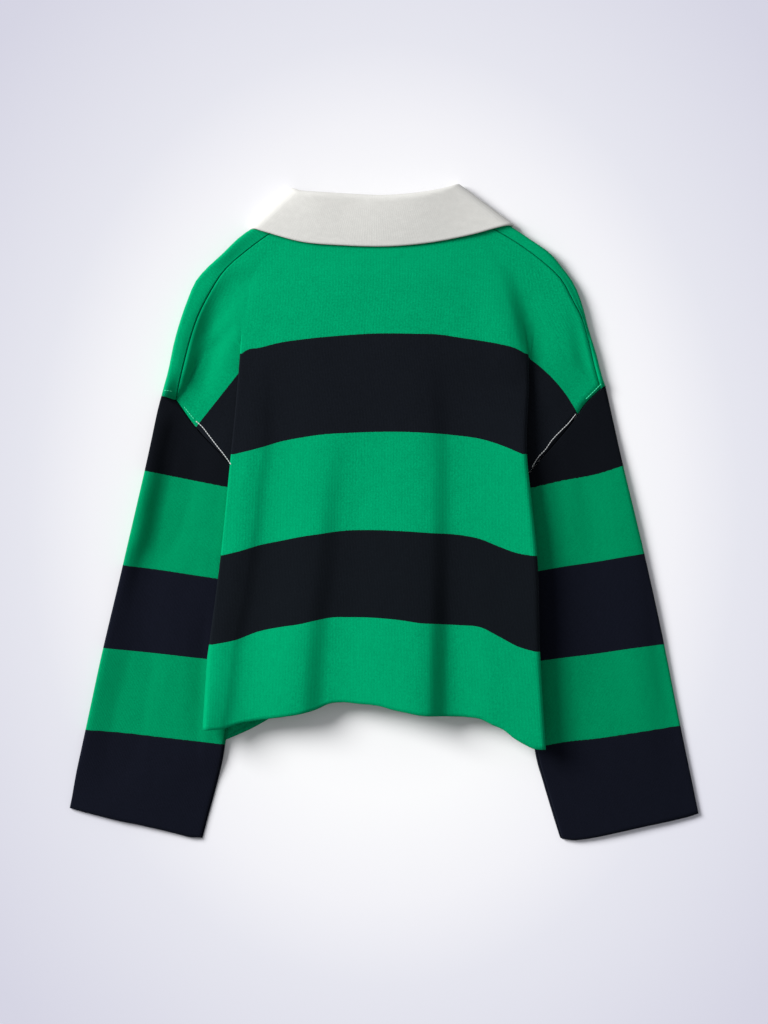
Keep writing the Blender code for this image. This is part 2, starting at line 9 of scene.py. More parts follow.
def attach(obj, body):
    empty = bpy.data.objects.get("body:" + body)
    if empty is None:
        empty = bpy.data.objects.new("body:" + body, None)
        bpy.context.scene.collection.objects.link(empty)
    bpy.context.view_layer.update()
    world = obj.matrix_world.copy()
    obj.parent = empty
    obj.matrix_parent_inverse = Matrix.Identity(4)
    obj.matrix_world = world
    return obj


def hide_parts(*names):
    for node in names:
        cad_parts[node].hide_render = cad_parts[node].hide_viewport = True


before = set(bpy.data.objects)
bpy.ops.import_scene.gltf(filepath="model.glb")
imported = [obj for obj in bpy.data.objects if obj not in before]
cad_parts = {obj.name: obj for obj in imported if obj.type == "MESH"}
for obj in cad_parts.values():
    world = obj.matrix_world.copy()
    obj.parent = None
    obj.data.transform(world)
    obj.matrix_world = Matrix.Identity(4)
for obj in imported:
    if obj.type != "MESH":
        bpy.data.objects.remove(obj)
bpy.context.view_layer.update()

MM = 0.001

# Millimetres on the surface to one pixel of the photograph, and the pixel over the frame's origin
PIXEL = 1.05
PIXEL_CENTRE = (384.0, 513.5)
PICTURE_HEIGHT = 1024

# Cloth and the middle heights of its layers
CLOTH = 1.6
RIB = 2.2
PANEL_GAP = 0.5
SLEEVE_GAP = 0.75
FRONT_BOTTOM = 0.8
FRONT_MIDDLE = 2.95
FRONT_TOP = 5.1
BACK_BOTTOM = 7.25
BACK_MIDDLE = 9.4
SIDE_SEAM_LAP = 0.1
FOLD_ROLL = 7.6

# A row through the pleat: how soon the lower layer levels off, where the middle layer starts, and the
# share of the row that is left to the top where the pleat opens out
LOWER_LEVELS = 1.4
MIDDLE_START = 0.12
OPEN_SHARE = 0.8

# Shoulder fold, neck and collar
TIP_INSET = 6.5
TIP_LAP = 1.1
SEAM_CREST = 9.8
NECK_FRONT = 3.9
NECK_BACK = 9.8
LEAF_FRONT = 1.1
LEAF_BACK = 12.3
LEAF_EDGE_LIFT = 1.6
ROLL_WIDTH = 3.4
COLLAR_GAP = 0.9
FOLD_CLEARANCE = 1.0

# Rows of the body, counted in stripes from the hem, with their distance from it along the cloth
UNDERARM = 2.6
YOKE = 4.0
TIP = 4.33
SHOULDER = 4.6
NECK = 5.0
SEAM_ROWS = (TIP, 4.38, 4.5, 4.85, NECK)
LENGTH_OF_ROWS = ((0, 0.0), (1, 95.0), (2, 190.0), (3, 292.0), (4, 396.0), (5, 516.0))

# Hem, the four stripe edges and the neck of the back, from the left fold to the right, in pixels
BACK_COURSES = (
    (
        (207, 730), (223, 728.6), (240, 723), (256, 720), (281, 717), (300, 714), (314, 710),
        (331, 703), (342, 702), (358, 703.5), (380, 706), (394, 710), (408, 713), (420, 715.5),
        (448, 716), (469, 717), (481, 719), (491, 724), (504, 730), (514, 738), (525, 744.5),
        (534, 748.6), (541, 749.4),
    ),
    (
        (213, 644.5), (235, 640), (260, 631), (280, 627), (300, 624), (315, 620.5), (330, 617.5),
        (350, 617), (380, 618), (400, 620), (420, 623), (440, 624), (460, 625), (480, 627), (500, 637),
        (517, 646), (537, 652),
    ),
    (
        (222, 555.5), (240, 551), (260, 545), (280, 541), (300, 537), (320, 534), (340, 531),
        (370, 530), (400, 531), (430, 533), (460, 535), (480, 539), (500, 547), (517, 553), (534, 556),
    ),
    (
        (234, 454.5), (260, 448), (280, 442), (300, 438), (320, 435), (350, 433), (400, 432),
        (440, 434), (460, 436), (480, 439), (500, 445), (524, 455),
    ),
    (
        (242, 354), (246, 351), (260, 348), (280, 343), (300, 340), (340, 336), (370, 334), (410, 334),
        (440, 335), (460, 338), (480, 341), (500, 344.5), (515, 348.5), (525, 354),
    ),
    (
        (306, 225), (345, 230), (384, 231), (423, 229.5), (454.5, 223),
    ),
)
# The back and the hidden front at nine even steps from the left fold to the right, in millimetres
BACK_HEIGHTS = (
    # row, z at each step
    (0, 30, 26, 24, 24, 25, 27.5, 26.5, 27, 30),
    (1, 15.5, 17.5, 20.5, 23, 24, 25, 25.5, 26.5, 30),
    (2, 12, 15, 18, 20, 20.5, 21.5, 22, 23.5, 28.5),
    (3, 11.6, 14, 16.5, 17, 17, 17.5, 17, 18, 23),
    (4, 11.6, 13.5, 15.5, 16.5, 18, 18.5, 17.5, 16.5, 14.5),
    (4.6, 10.5, 12.5, 14, 15, 15, 15, 14, 12.5, 11.5),
    (4.8, 10.2, 11, 11.5, 11.8, 12, 11.8, 11.5, 11, 10.2),
    (5, *[NECK_BACK] * 9),
)
FRONT_COURSES = (
    # row, y at each step
    (0, -244.5, -226, -203, -195, -193, -195, -203, -221, -238),
    (1, -139, -128, -116, -110, -108, -110, -118, -130, -145),
    (2, -44, -37, -29, -25, -24, -25, -29, -38, -46),
    (3, 62, 70, 73, 74, 74, 74, 73, 70, 61),
    (4, 167, 169, 170, 170, 170, 170, 170, 169, 166),
)

# Neckline of the front, how far its edge is raised by the collar folded under it, and its yoke
V_POINT = (0, 170)
V_TOP = (100, 312)
V_RAISE = (110.0, 80.0)
SHOULDER_BOW = 32.0
STRAP_SHARE = (0.45, 0.75)
FRONT_INSET = 3.0
YOKE_LENGTH = 100.0

LEFT = {
    "sign": -1,
    "dip": 20,
    "shoulder_folds": (14.5, 11.5, 5.3),
    "seam_crests": (12, 13),
    # row, x of the outer fold, depth of the pleat, how closely it is folded
    "folds": (
        (0, -185.9, 58, 1), (1, -179.6, 57, 1), (2, -169.1, 56, 1), (2.6, -162.8, 54, 1),
        (3, -158.6, 43, 1), (3.5, -153.5, 28, 1), (4, -149.1, 11, 1), (4.1, -148.2, 5, 0.6),
        (4.2, -147.2, 0, 0.1), (4.33, -145, 0, 0), (4.6, -137, 0, 0), (4.8, -118, 0, 0),
        (5, -82, 0, 0),
    ),
    "side_seam": ((-128, -212), (-112, 1.7)),
    "armhole": ((-115.5, -1.5), (-159.6, 50.9), (-200, 94), (-218.4, 120.2)),
    # share of the armhole's length below the yoke
    "armhole_at_yoke": 0.77,
    "front_tip": (-230.6, 122.4),
    "shoulder_seam": (
        (-218.4, 120.2), (-211.1, 151.7), (-202.7, 184.3), (-195.3, 206.3), (-182.2, 232.1),
        (-169.1, 252.5), (-144.9, 274.6), (-120.8, 292.4), (-100.8, 305),
    ),
    "shoulder_fold": (
        (-233.1, 124.4), (-226.8, 146.5), (-219.5, 181.1), (-213.2, 203.2), (-205.8, 224.2),
        (-196.4, 245.2), (-186.9, 256.2), (-171.2, 270.4), (-151, 290), (-109.2, 315),
    ),
    "neck_edge": ((0, 170), (-38, 219), (-74, 267.5), (-98, 303)),
    "sleeve_outer": (
        (-233.1, 124.4), (-249.9, 44.6), (-273, -55.1), (-294, -143.3), (-311.9, -226.3),
        (-329.7, -307.1),
    ),
    "sleeve_inner": (
        (-115.5, -1.5), (-138, -78), (-154, -160), (-164.9, -233.6), (-171.2, -269.3),
        (-190.1, -339.7),
    ),
    # x, then y of the four stripe edges from the armhole down, in pixels
    "sleeve_stripes": (
        (86, 459, 559.5, 646, 729), (130, 468, 566, 650.5, 733), (160, 474, 570, 653.5, 736.5),
        (200, 482, 576, 658, 741), (230, 488, 580.5, 661, 744.5), (280, 498, 588, 667, 750),
    ),
    "course_bow": 0,
    # share of the width from the outer edge, and how far the cuff's edge bows down in millimetres
    "cuff_bow": (
        (0, 2), (0.08, 2.6), (0.26, 3.2), (0.38, 3.4), (0.5, 2.5), (0.7, 2.4), (0.82, 2.7),
        (0.9, 3.1), (0.94, 2.5), (0.97, 1.3), (1, 0.8),
    ),
}

RIGHT = {
    "sign": 1,
    "dip": 27,
    "shoulder_folds": (6.5, 8, 5.3),
    "seam_crests": (6.7, 9.8),
    "folds": (
        (0, 165, 53, 1), (1, 159, 50, 1), (2, 156, 48, 1), (2.6, 149.5, 47, 1),
        (3, 145.3, 32, 1), (3.5, 146.4, 14, 1), (3.8, 148, 4, 1), (4, 148.5, 0, 0.5),
        (4.17, 146, 0, 0.2), (4.33, 142, 0, 0), (4.6, 133, 0, 0), (4.8, 114, 0, 0),
        (5, 74, 0, 0),
    ),
    "side_seam": ((112.4, -214), (107.4, -4.6)),
    "armhole": ((111, -8), (152.3, 43.6), (202.7, 103.4), (209, 112.9), (227.2, 131.2)),
    "armhole_at_yoke": 0.8,
    "front_tip": (229.6, 132.9),
    "shoulder_seam": (
        (227.2, 131.2), (220, 157), (214.2, 181.1), (206.9, 206.3), (198.5, 222.1), (185.9, 245.2),
        (165.9, 264.1), (141.8, 281.9), (116.6, 297.2), (92.4, 311.3),
    ),
    "shoulder_fold": (
        (232.1, 134.9), (230, 140.2), (222.6, 167.5), (214.2, 194.8), (207.9, 218.9), (198.5, 242),
        (186.9, 257.8), (174.3, 272.5), (156.5, 285.1), (138.6, 297.2), (100.5, 320.5),
    ),
    "neck_edge": ((0, 170), (36.5, 219), (72, 267.5), (90, 307)),
    "sleeve_outer": (
        (231, 134.9), (250, 49.9), (272.4, -43.6), (293.2, -138.1), (310.6, -222.6),
        (330, -315),
    ),
    "sleeve_inner": (
        (111, -8), (133, -86), (147, -170), (157.8, -248.3), (167.2, -284),
        (184.4, -341),
    ),
    "sleeve_stripes": (
        (490, 497, 581, 668, 755), (530, 488.6, 572.5, 662, 748), (560, 481.5, 567, 658, 742),
        (600, 473.5, 561, 653, 737.5), (623, 466, 557, 649.5, 734), (680, 452, 548, 642, 725),
    ),
    "course_bow": 0.05,
    "cuff_bow": (
        (0, 0), (0.06, 1.4), (0.17, 2.4), (0.28, 3), (0.4, 3.5), (0.57, 4.7), (0.72, 5.5),
        (0.8, 5.6), (0.86, 5.2), (0.9, 4.6), (0.93, 3.5), (0.96, 2.2), (0.98, 0.9), (1, -0.6),
    ),
}

# Collar, from the left front end round the back of the neck to the right front end
COLLAR_SECTIONS = (
    # seam x, y, roll x, y, leaf edge x, y, turn (-90 under the front, 90 on top of the back)
    (-4.5, 175.8, -2, 181, -50, 138, -90),
    (-38, 219, -27, 228, -72, 190, -90),
    (-74, 267.5, -58, 280, -104, 241, -90),
    (-98, 303, -82, 318, -132, 273, -90),
    (-105.5, 311.5, -92.5, 335, -138, 294.8, -72),
    (-108.5, 315, -95.6, 338.6, -140, 297.5, 0),
    (-105, 310.5, -93, 338.8, -135, 298, 62),
    (-100.3, 305.6, -86, 337, -124, 294.6, 90),
    (-76, 302.4, -66, 335.6, -86.1, 284.4, 90),
    (-38, 298.6, -34, 333.6, -46, 280.8, 90),
    (0, 297.3, -2, 332.3, 2, 279.6, 90),
    (36, 299, 30, 334.4, 46.2, 283.3, 90),
    (70, 305.3, 56, 338.4, 88.2, 291.1, 90),
    (92.6, 312, 68, 341.4, 117, 298.8, 90),
    (97, 317, 73, 342.6, 128.5, 301.6, 62),
    (100, 320.5, 75.6, 342.3, 135.5, 302, 0),
    (98, 317, 73.8, 339.4, 133.9, 299.2, -72),
    (90, 307, 64, 322, 128, 277, -90),
    (72, 267.5, 57, 280, 102, 241, -90),
    (36.5, 219, 26, 228, 71, 190, -90),
    (4.5, 175.8, 2, 181, 50, 138, -90),
)

# Place in the table of sections, how high the collar's roll stands over its leaf's edge, and how the
# leaf falls between them: evenly at 1, later at more
LEAF_RISES = (
    (0, 0, 1), (4, 0, 1), (5, 1.5, 1), (6, 2.5, 1), (7, 4.5, 0.8), (8, 6.5, 0.9),
    (9, 6.2, 1.3), (10, 7.2, 1.5), (11, 7.2, 1.5), (12, 4.8, 1.2), (13, 2.5, 1), (14, 1, 1),
    (16, 0, 1), (20, 0, 1),
)

# Sleeves, with stations from 0 at the armhole to 1 at the cuff
SLEEVE_FOLD = 3.4
SLEEVE_REST = 5.1
CUFF_REST = 3.0
FLATTENED = (-300.0, -120.0)
SLEEVE_LOFT = 4.8
LOFT_STATION = 0.25
OPENING_STATION = 0.05
FOLD_STATION = 0.06
CUFF_STATION = 0.93
STRIPES_BEYOND = (125.0, 120.0)
STRIPE_WIDTH = 95.0
CROWN_STEPS = (0.2, 0.6)
INNER_SEAM_INSET = 1.2
TURN_REACH = 2.0
UNDERARM_CLEARANCE = 0.025
ARMHOLE_SLOPE = (0.75, 0.66)

# Where the sleeve climbs into the pleat, from outside to inside: past the fold, at the hem and at the
# top of the pleat
PLEAT_RAMP = (40.0, 12.0)
HEM_RAMP = (-285.0, -245.0)
TOP_RAMP = (175.0, 135.0)

# How finely each sheet is drawn
BODY_ROWS = np.concatenate(
    [np.linspace(0.0, UNDERARM, 62)[:-1], np.linspace(UNDERARM, TIP, 46)[:-1], np.linspace(TIP, NECK, 24)]
)
LAYER_STEPS = 12
TURN_STEPS = 8
TURN_SHARES = np.arange(1, TURN_STEPS + 1) / TURN_STEPS
BODY_STEPS = 150
FRONT_STEPS = 24
SLEEVE_STATIONS = np.concatenate([np.linspace(0.0, 0.1, 8)[:-1], np.linspace(0.1, 1.0, 88)])
SLEEVE_STEPS = 40
COLLAR_STATIONS = 180
STAND_STEPS = 8
LEAF_STEPS = 24

# Folds lying in the cloth, each one-sided: the surface drops steeply to the right across a line and
# eases back on both sides. Each has the width of the steep part and the reach to its left and right, in
# pixels; the shares of the drop that go to the crest and to the trough, and how much wider the fold's
# soft part is; then its points, x and y in pixels and the drop in millimetres.
EVEN_FOLD = (1, 1, 2.3)
BACK_FOLDS = (
    (
        (27, 16, 60), (0.5, 1, 2.3),
        (264, 358, 0), (264, 400, 3.5), (263, 450, 5.5), (257, 490, 6.5), (254, 525, 7.4),
        (249, 560, 7.4), (243, 600, 7.4), (233, 645, 7.6), (229, 680, 8), (226, 702, 8),
        (219, 734, 8),
    ),
    (
        (25, 60, 50), EVEN_FOLD,
        (342, 428, 0), (338, 455, 1.8), (333, 490, 3.7), (330, 525, 5.1), (326, 575, 6),
        (319.5, 620, 7.4), (315.5, 660, 8.4), (312.5, 714, 9),
    ),
    (
        (21, 80, 45), EVEN_FOLD,
        (434, 355, 0), (438, 400, 2.8), (441, 450, 4.2), (441, 505, 5.2), (440, 560, 7.5),
        (439, 620, 10.2), (438, 660, 11.6), (437, 717, 12.2),
    ),
    (
        (18, 40, 24), EVEN_FOLD,
        (500, 262, 0), (511, 288, 4), (518, 314, 8), (525, 340, 10), (530, 360, 7), (533, 384, 0),
    ),
    (
        (29, 9, 28), (0.3, 1.05, 1.25),
        (226, 268, 0), (216, 282, 4), (202.5, 305, 9), (195.5, 325, 13), (190.5, 346, 15),
        (186.5, 364, 15.5), (186, 380, 16), (184.5, 394, 16), (184, 405, 10), (185, 420, 0),
    ),
    (
        (12, 20, 8), EVEN_FOLD,
        (566, 300, 0), (574, 345, 3), (579, 372, 4), (583, 395, 0),
    ),
)
LEFT["sleeve_folds"] = (
    (
        (29, 10, 34), (0.95, 0.42, 2),
        (182, 404, 0), (175, 418, 9), (167, 445, 13), (162, 475, 17), (155.5, 505, 20),
        (150, 535, 19), (140, 563, 13), (132, 600, 4.5), (125, 635, 0),
    ),
    (
        (46, 10, 30), EVEN_FOLD,
        (124, 570, 0), (120, 620, 5), (117, 660, 8), (109, 700, 8), (101, 745, 6), (92, 795, 0),
    ),
    (
        (24, 26, 14), EVEN_FOLD,
        (201, 590, 0), (195, 650, 2.5), (191, 700, 3), (187, 745, 2), (184, 795, 0),
    ),
)
RIGHT["sleeve_folds"] = (
    (
        (16, 18, 30), EVEN_FOLD,
        (566, 430, 0), (574, 465, 1), (580, 500, 1.4), (584, 530, 1), (590, 590, 0),
    ),
    (
        (50, 34, 10), EVEN_FOLD,
        (590, 430, 0), (598, 470, -3), (606, 520, -4), (616, 600, -3), (626, 680, -2),
        (640, 740, 0),
    ),
    (
        (26, 26, 14), EVEN_FOLD,
        (640, 600, 0), (650, 660, 2), (656, 720, 2), (662, 790, 0),
    ),
)

# Shares of the drop in a fold's steep part and in its soft part
FOLD_SHARES = (0.72, 0.45)

# Width over which a sleeve's folds start beyond the back, and how low folds may bring each piece
FOLD_EASE = 12.0
LOWEST_BACK = 5.7
LOWEST_YOKE = 3.3
LOWEST_SLEEVE = 2.9

# Seam stitches on the body beside the armholes, in pixels
STITCH_LINES = {
    "stitch_left_body": (
        (196.3, 421.3), (201.9, 426.3), (208.8, 435), (217.5, 446.3), (225, 455.6), (231.5, 464.8),
    ),
    "stitch_left_yoke": ((184.5, 407), (190, 414), (196, 421)),
    "stitch_left_shoulder": ((165.2, 391.0), (170, 391.4), (175.5, 392.6)),
    "stitch_right_body": (
        (575.5, 414.2), (567.8, 423.8), (559, 432.5), (551.5, 440.6), (545.3, 449.4), (537.8, 457.5),
        (531, 468.5),
    ),
    "stitch_right_yoke": ((600.8, 384.2), (594, 391.2), (584, 400.8)),
}
# A stitch: shares of its length with its thickness there, how flat and how high it lies, and how far
# beside the seam the cloth's height is felt, in metres
STITCH_RADIUS = 0.5
THIN_STITCH_RADIUS = 0.38
STITCH_LENGTH = 2.6
STITCH_GAP = 0.2
STITCH_SIDES = 8
STITCH_PROFILE = ((0.0, 0.35), (0.12, 0.9), (0.5, 1.0), (0.88, 0.9), (1.0, 0.35))
STITCH_FLATNESS = 0.8
STITCH_RISE = 0.35
STITCH_FEELERS = (0.0, 0.0008, -0.0008)
FEELER_START = 0.2

# Knit stitches: widths of a wale and a course, and the pitch of the collar's rib, in metres; how much
# a loop slants, and the heights of wale, loop, rib and fibres beside each other
WALE = 0.0016
COURSE = 0.0012
RIB_WALE = 0.00105
RIB_COURSE = 0.0011
RIB_PITCH = 0.0021
LOOP_SLANT = 1.3
WALE_HEIGHT = 0.6
LOOP_HEIGHT = 0.28
RIB_HEIGHT = 0.2
FIBRE_HEIGHT = 0.35

# Relief: its strength and its depth in metres
KNIT_BUMP = (0.7, 0.0003)
RIB_BUMP = (0.4, 0.0003)
THREAD_BUMP = (0.4, 0.0002)
FLOOR_BUMP = (0.02, 0.0005)

# Mottling and painted shade: scales of soft clouds and of grain, strength of the grain, and how height
# turns to painted shade
KNIT_MOTTLE_AND_SHADE = ((26.0, 330.0), 0.19, (0.22, 0.9))
RIB_MOTTLE_AND_SHADE = ((34.0, 420.0), 0.08, (0.06, 0.97))
CLOUD_RANGE = (0.97, 1.03)
TWIST_RANGE = (0.85, 1.1)

# Scales of noise, its detail, and how ragged a stripe's edge is, in stripes
FIBRE_SCALE = 1900.0
EDGE_SCALE = 700.0
TWIST_SCALE = 1500.0
FLOOR_SCALE = 60.0
DETAIL = 2.0
FINE_DETAIL = 3.0
EDGE_RAGGEDNESS = 0.012

BODY_GREEN = (0.0003, 0.31, 0.126, 1.0)
BODY_NAVY = (0.005, 0.0066, 0.0088, 1.0)
BODY_UPPER_NAVY = (0.0058, 0.0072, 0.01, 1.0)
# Painted shade: the sleeves are the body's yarn, their green drawn darker to stand in for shade on them
SLEEVE_GREEN_PAINTED_SHADE = (0.0003, 0.255, 0.1, 1.0)
SLEEVE_NAVY = (0.0052, 0.0061, 0.0118, 1.0)
# Painted shade: the sleeves' upper navy is drawn darker against the sheen the key light gives it
SLEEVE_UPPER_NAVY_PAINTED_SHADE = (0.0038, 0.0046, 0.0066, 1.0)
UPPER_STRIPES = 2.5
GREEN_TINT = (0.05, 1.0, 0.55, 1.0)
NAVY_TINT = (0.7, 0.8, 1.0, 1.0)
COLLAR_WHITE = (0.632, 0.625, 0.594)
THREAD = (0.6, 0.62, 0.62)
GREEN_THREAD = (0.015, 0.66, 0.33)

# Floor: half its width, how far it lies under the cloth, the half axes of its painted pool of light, all
# in metres, and its colours from the middle out, darker towards the rim as painted shade
FLOOR_HALF = 8.0
FLOOR_DROP = 0.0003
FLOOR_LIGHT_POOL_REACH = (0.374, 0.497)
FLOOR_PAINTED_LIGHT_COLOURS = (
    # half the distance in half axes, red, green, blue
    (0.0, 0.99, 0.99, 0.99),
    (0.3, 0.985, 0.985, 0.988),
    (0.41, 0.905, 0.9, 0.935),
    (0.5, 0.8, 0.8, 0.865),
    (0.735, 0.68, 0.675, 0.775),
    (1.0, 0.665, 0.66, 0.76),
)

# Light: where it comes from, its distance and width in metres, its strength beside the even fill, its
# share of the floor's light and how fast that fades with distance, which the floor's colour is painted
# against
KEY_DIRECTION = (-1.35, 0.72, 1.0)
KEY_DISTANCE = 4.9
KEY_PLACE = Vector(KEY_DIRECTION).normalized() * KEY_DISTANCE
KEY_SIZE = 2.55
LIGHT_GAIN = 1.1
KEY_STRENGTH = 4.25 * LIGHT_GAIN
FILL_STRENGTH = 0.312 * LIGHT_GAIN
FILL_COLOUR = (0.96, 0.97, 1.0, 1.0)
KEY_SHARE = 0.65
KEY_FADE = 3.0

CAMERA_DISTANCE = 4.0
SENSOR = 36.0
DIRECTION_STEP = 0.02


def ease(t):
    """0 to 1 with a soft start and end."""
    t = np.clip(t, 0.0, 1.0)
    return t * t * (3 - 2 * t)


def ramp(value, start, end):
    """0 at the start and 1 at the end, with a soft start and end."""
    return ease((value - start) / (end - start))


def even(count):
    """Even steps from 0 to 1."""
    return np.linspace(0.0, 1.0, count)


def blend(first, last, share):
    """From first at 0 to last at 1."""
    return first + (last - first) * share


def curve(stations, values, at):
    """A smooth curve through values at rising stations, read at many places."""
    stations = np.asarray(stations, float)
    values = np.asarray(values, float)
    at = np.clip(np.atleast_1d(np.asarray(at, float)), stations[0], stations[-1])
    slopes = np.gradient(values, stations, axis=0)
    i = np.clip(np.searchsorted(stations, at, side="right") - 1, 0, len(stations) - 2)
    shape = (-1,) + (1,) * (values.ndim - 1)
    span = (stations[i + 1] - stations[i]).reshape(shape)
    t = (at - stations[i]).reshape(shape) / span
    start = (2 * t**3 - 3 * t**2 + 1) * values[i] + (t**3 - 2 * t**2 + t) * span * slopes[i]
    end = (3 * t**2 - 2 * t**3) * values[i + 1] + (t**3 - t**2) * span * slopes[i + 1]
    return start + end


class Line:
    """A smooth line through points, read by the share of its length."""

    def __init__(self, points):
        self.points = np.array(points, float)
        steps = np.linalg.norm(np.diff(self.points, axis=0), axis=1)
        self.length = steps.sum()
        self.reach = np.concatenate([[0.0], np.cumsum(steps)]) / self.length

    def at(self, share):
        """The point at a share of the length."""
        return curve(self.reach, self.points, share)[0]

    def beside(self, share):
        """The unit vector to the left of the line's direction."""
        step = self.at(min(share + DIRECTION_STEP, 1.0)) - self.at(max(share - DIRECTION_STEP, 0.0))
        step = step / np.linalg.norm(step)
        return np.array([-step[1], step[0]])


def surface_of(table, rows, steps):
    """Values of a table at rows and at steps across, as an array of rows."""
    across = curve(even(len(table[0]) - 1), np.array([line[1:] for line in table], float).T, steps)
    return curve([line[0] for line in table], across.T, rows)


def fold_at(side, row):
    """x of the outer fold, depth of the pleat and how closely it is folded, at a row."""
    table = np.array(side["folds"], float)
    x, depth = curve(table[:, 0], table[:, 1:3], row)[0]
    return x, max(depth, 0.0), float(np.interp(row, table[:, 0], table[:, 3]))


def front_floor(x, y):
    """Height of the bottom layer of the front, lifted by the collar folded under its neckline."""
    corner = np.array(V_POINT)
    top = np.array(V_TOP)
    step = (top - corner) / np.linalg.norm(top - corner)
    distance = (np.abs(x) - corner[0]) * step[1] - (y - corner[1]) * step[0]
    return blend(FRONT_BOTTOM, NECK_FRONT, ramp(distance, *V_RAISE))


def outer_fold(side, y):
    """x of the back's outer fold at places up the front."""
    levels = [line[1] for line in FRONT_COURSES]
    table = np.array(side["folds"], float)
    row = np.interp(y, levels, range(len(levels)))
    return np.interp(row, table[:, 0], table[:, 1])


def inside_pleat(side, x, y):
    """1 where the sleeve lies in the pleat, easing to 0 beyond the fold and below the hem."""
    past_fold = side["sign"] * (x - outer_fold(side, y))
    return ramp(past_fold, *PLEAT_RAMP) * ramp(y, *HEM_RAMP) * ramp(y, *TOP_RAMP)


def beyond_fold(side, x, y):
    """0 under the back, easing to 1 beyond its outer fold and below its hem."""
    past_fold = side["sign"] * (x - outer_fold(side, y))
    return np.maximum(ease(past_fold / FOLD_EASE), ramp(y, *HEM_RAMP[::-1]))


def lower_layer(side, x, y):
    """Height of the layer that joins the front to the sleeve."""
    return blend(FRONT_BOTTOM, FRONT_TOP, inside_pleat(side, x, y))


def upper_layer(side, x, y):
    """Height of the layer that joins the back to the sleeve."""
    held = inside_pleat(side, x, y)
    rest = np.interp(y, FLATTENED, (CUFF_REST, SLEEVE_REST))
    return held * BACK_BOTTOM + (1 - held) * rest


def armhole_share(side, row):
    """Share of the armhole's length at a row."""
    return float(np.interp(row, (UNDERARM, YOKE, TIP), (0, side["armhole_at_yoke"], 1)))


def seam_height(side, row):
    """Height of the cloth at the shoulder seam."""
    tip = upper_layer(side, *Line(side["armhole"]).at(1.0))
    heights = (tip, *side["seam_crests"], SEAM_CREST, NECK_BACK)
    return float(curve(SEAM_ROWS, heights, row)[0])


def front_armhole(side):
    """The front's armhole: the back's with a longer tip."""
    return Line((*side["armhole"][:3], side["front_tip"]))


def inside_cut(side, line, share, towards=1):
    """A point half a seam gap from a seam, inside the back, or inside the front at -1."""
    return line.at(share) + line.beside(share) * side["sign"] * PANEL_GAP / 2 * towards


def seam_point(side, row):
    """The edge of the back at a row, half a seam gap inside the cut, with its height."""
    if row < UNDERARM:
        return np.array([*Line(side["side_seam"]).at(row / UNDERARM), BACK_BOTTOM - SIDE_SEAM_LAP])
    if row <= TIP:
        point = inside_cut(side, Line(side["armhole"]), armhole_share(side, row))
        return np.array([*point, float(upper_layer(side, *point))])
    point = inside_cut(side, Line(side["shoulder_seam"]), (row - TIP) / (NECK - TIP))
    return np.array([*point, seam_height(side, row)])


def turn(centre, direction, low, high, rising):
    """Points round a half circle from one height to the other, bulging along direction."""
    angles = np.pi * (TURN_SHARES - 0.5)[:, None]
    radius = (high - low) / 2
    heights = (low + high) / 2 + radius * np.sin(angles) * (1 if rising else -1)
    return np.hstack([centre + direction * (radius * np.cos(angles)), heights])


def pleat(side, row, edge, fold, levels, folded):
    """Points of one row from a panel's edge through its pleat to the outer fold."""
    low, middle, top = levels
    rising = top > low
    lean = np.radians(side["dip"])
    inward = np.array([-side["sign"] * np.cos(lean), -np.sin(lean)])
    outward = np.array([side["sign"], 0.0])
    inner = edge[:2] if row < UNDERARM else fold[:2] + inward * fold[2]
    steps = even(LAYER_STEPS)[:, None]
    heights = blend(edge[2], low, ease(steps * LOWER_LEVELS))
    lower = np.hstack([blend(edge[:2], inner, steps), heights])
    first = turn(inner, inward, min(low, middle), max(low, middle), rising)
    at_fold = max(middle, top - FOLD_ROLL) if rising else middle
    steps = np.linspace(MIDDLE_START, 1.0, LAYER_STEPS)[:, None]
    between = np.hstack([blend(inner, fold[:2], steps), blend(middle, at_fold, ease(steps))])
    second = turn(fold[:2], outward, min(at_fold, top), max(at_fold, top), rising)
    points = np.vstack([lower, first, between, second])
    if row < UNDERARM:
        points[LAYER_STEPS + TURN_STEPS - 1, 2] = edge[2]
    if folded < 1.0:
        steps = np.linspace(0.0, OPEN_SHARE, LAYER_STEPS)
        steps = np.append(steps, np.linspace(OPEN_SHARE, 1.0, len(points) - LAYER_STEPS + 1)[1:])[:, None]
        flat = blend(edge, np.array([*fold[:2], top]), steps)
        flat[:, 2] = blend(edge[2], top, ease(steps[:, 0]))
        points = blend(flat, points, folded)
    return points


def without_lower_layer(row, points):
    """The lower layer ends at the underarm, so the rows below it start at the side seam."""
    if row < UNDERARM:
        points[: LAYER_STEPS + TURN_STEPS - 1] = np.nan
    return points


def to_plan(points):
    """Points of the photograph in millimetres."""
    return (np.array(points, float) - PIXEL_CENTRE) * (PIXEL, -PIXEL)


def relief(folds, x, y):
    """Height that lying folds add at places in millimetres."""
    total = np.zeros_like(x)
    for widths, (crest, trough, spread), *points in folds:
        points = np.array(points, float)[::-1]
        line = to_plan(points[:, :2])
        from_middle = x - curve(line[:, 1], line[:, 0], y)
        drop = curve(line[:, 1], points[:, 2], y) * (y < line[-1, 1])
        for share, wider in ((FOLD_SHARES[0], 1.0), (FOLD_SHARES[1], spread)):
            steep, reach_left, reach_right = np.array(widths) * PIXEL * wider
            half = steep / 2
            left_of = ease(1 - (-from_middle - half) / reach_left)
            right_of = -ease(1 - (from_middle - half) / reach_right)
            across = -np.sin(np.clip(from_middle / steep, -0.5, 0.5) * np.pi)
            shape = np.where(from_middle < -half, left_of, np.where(from_middle > half, right_of, across))
            shape = np.where(shape > 0, shape * crest, shape * trough)
            total += share * drop / 2 * shape
    return total


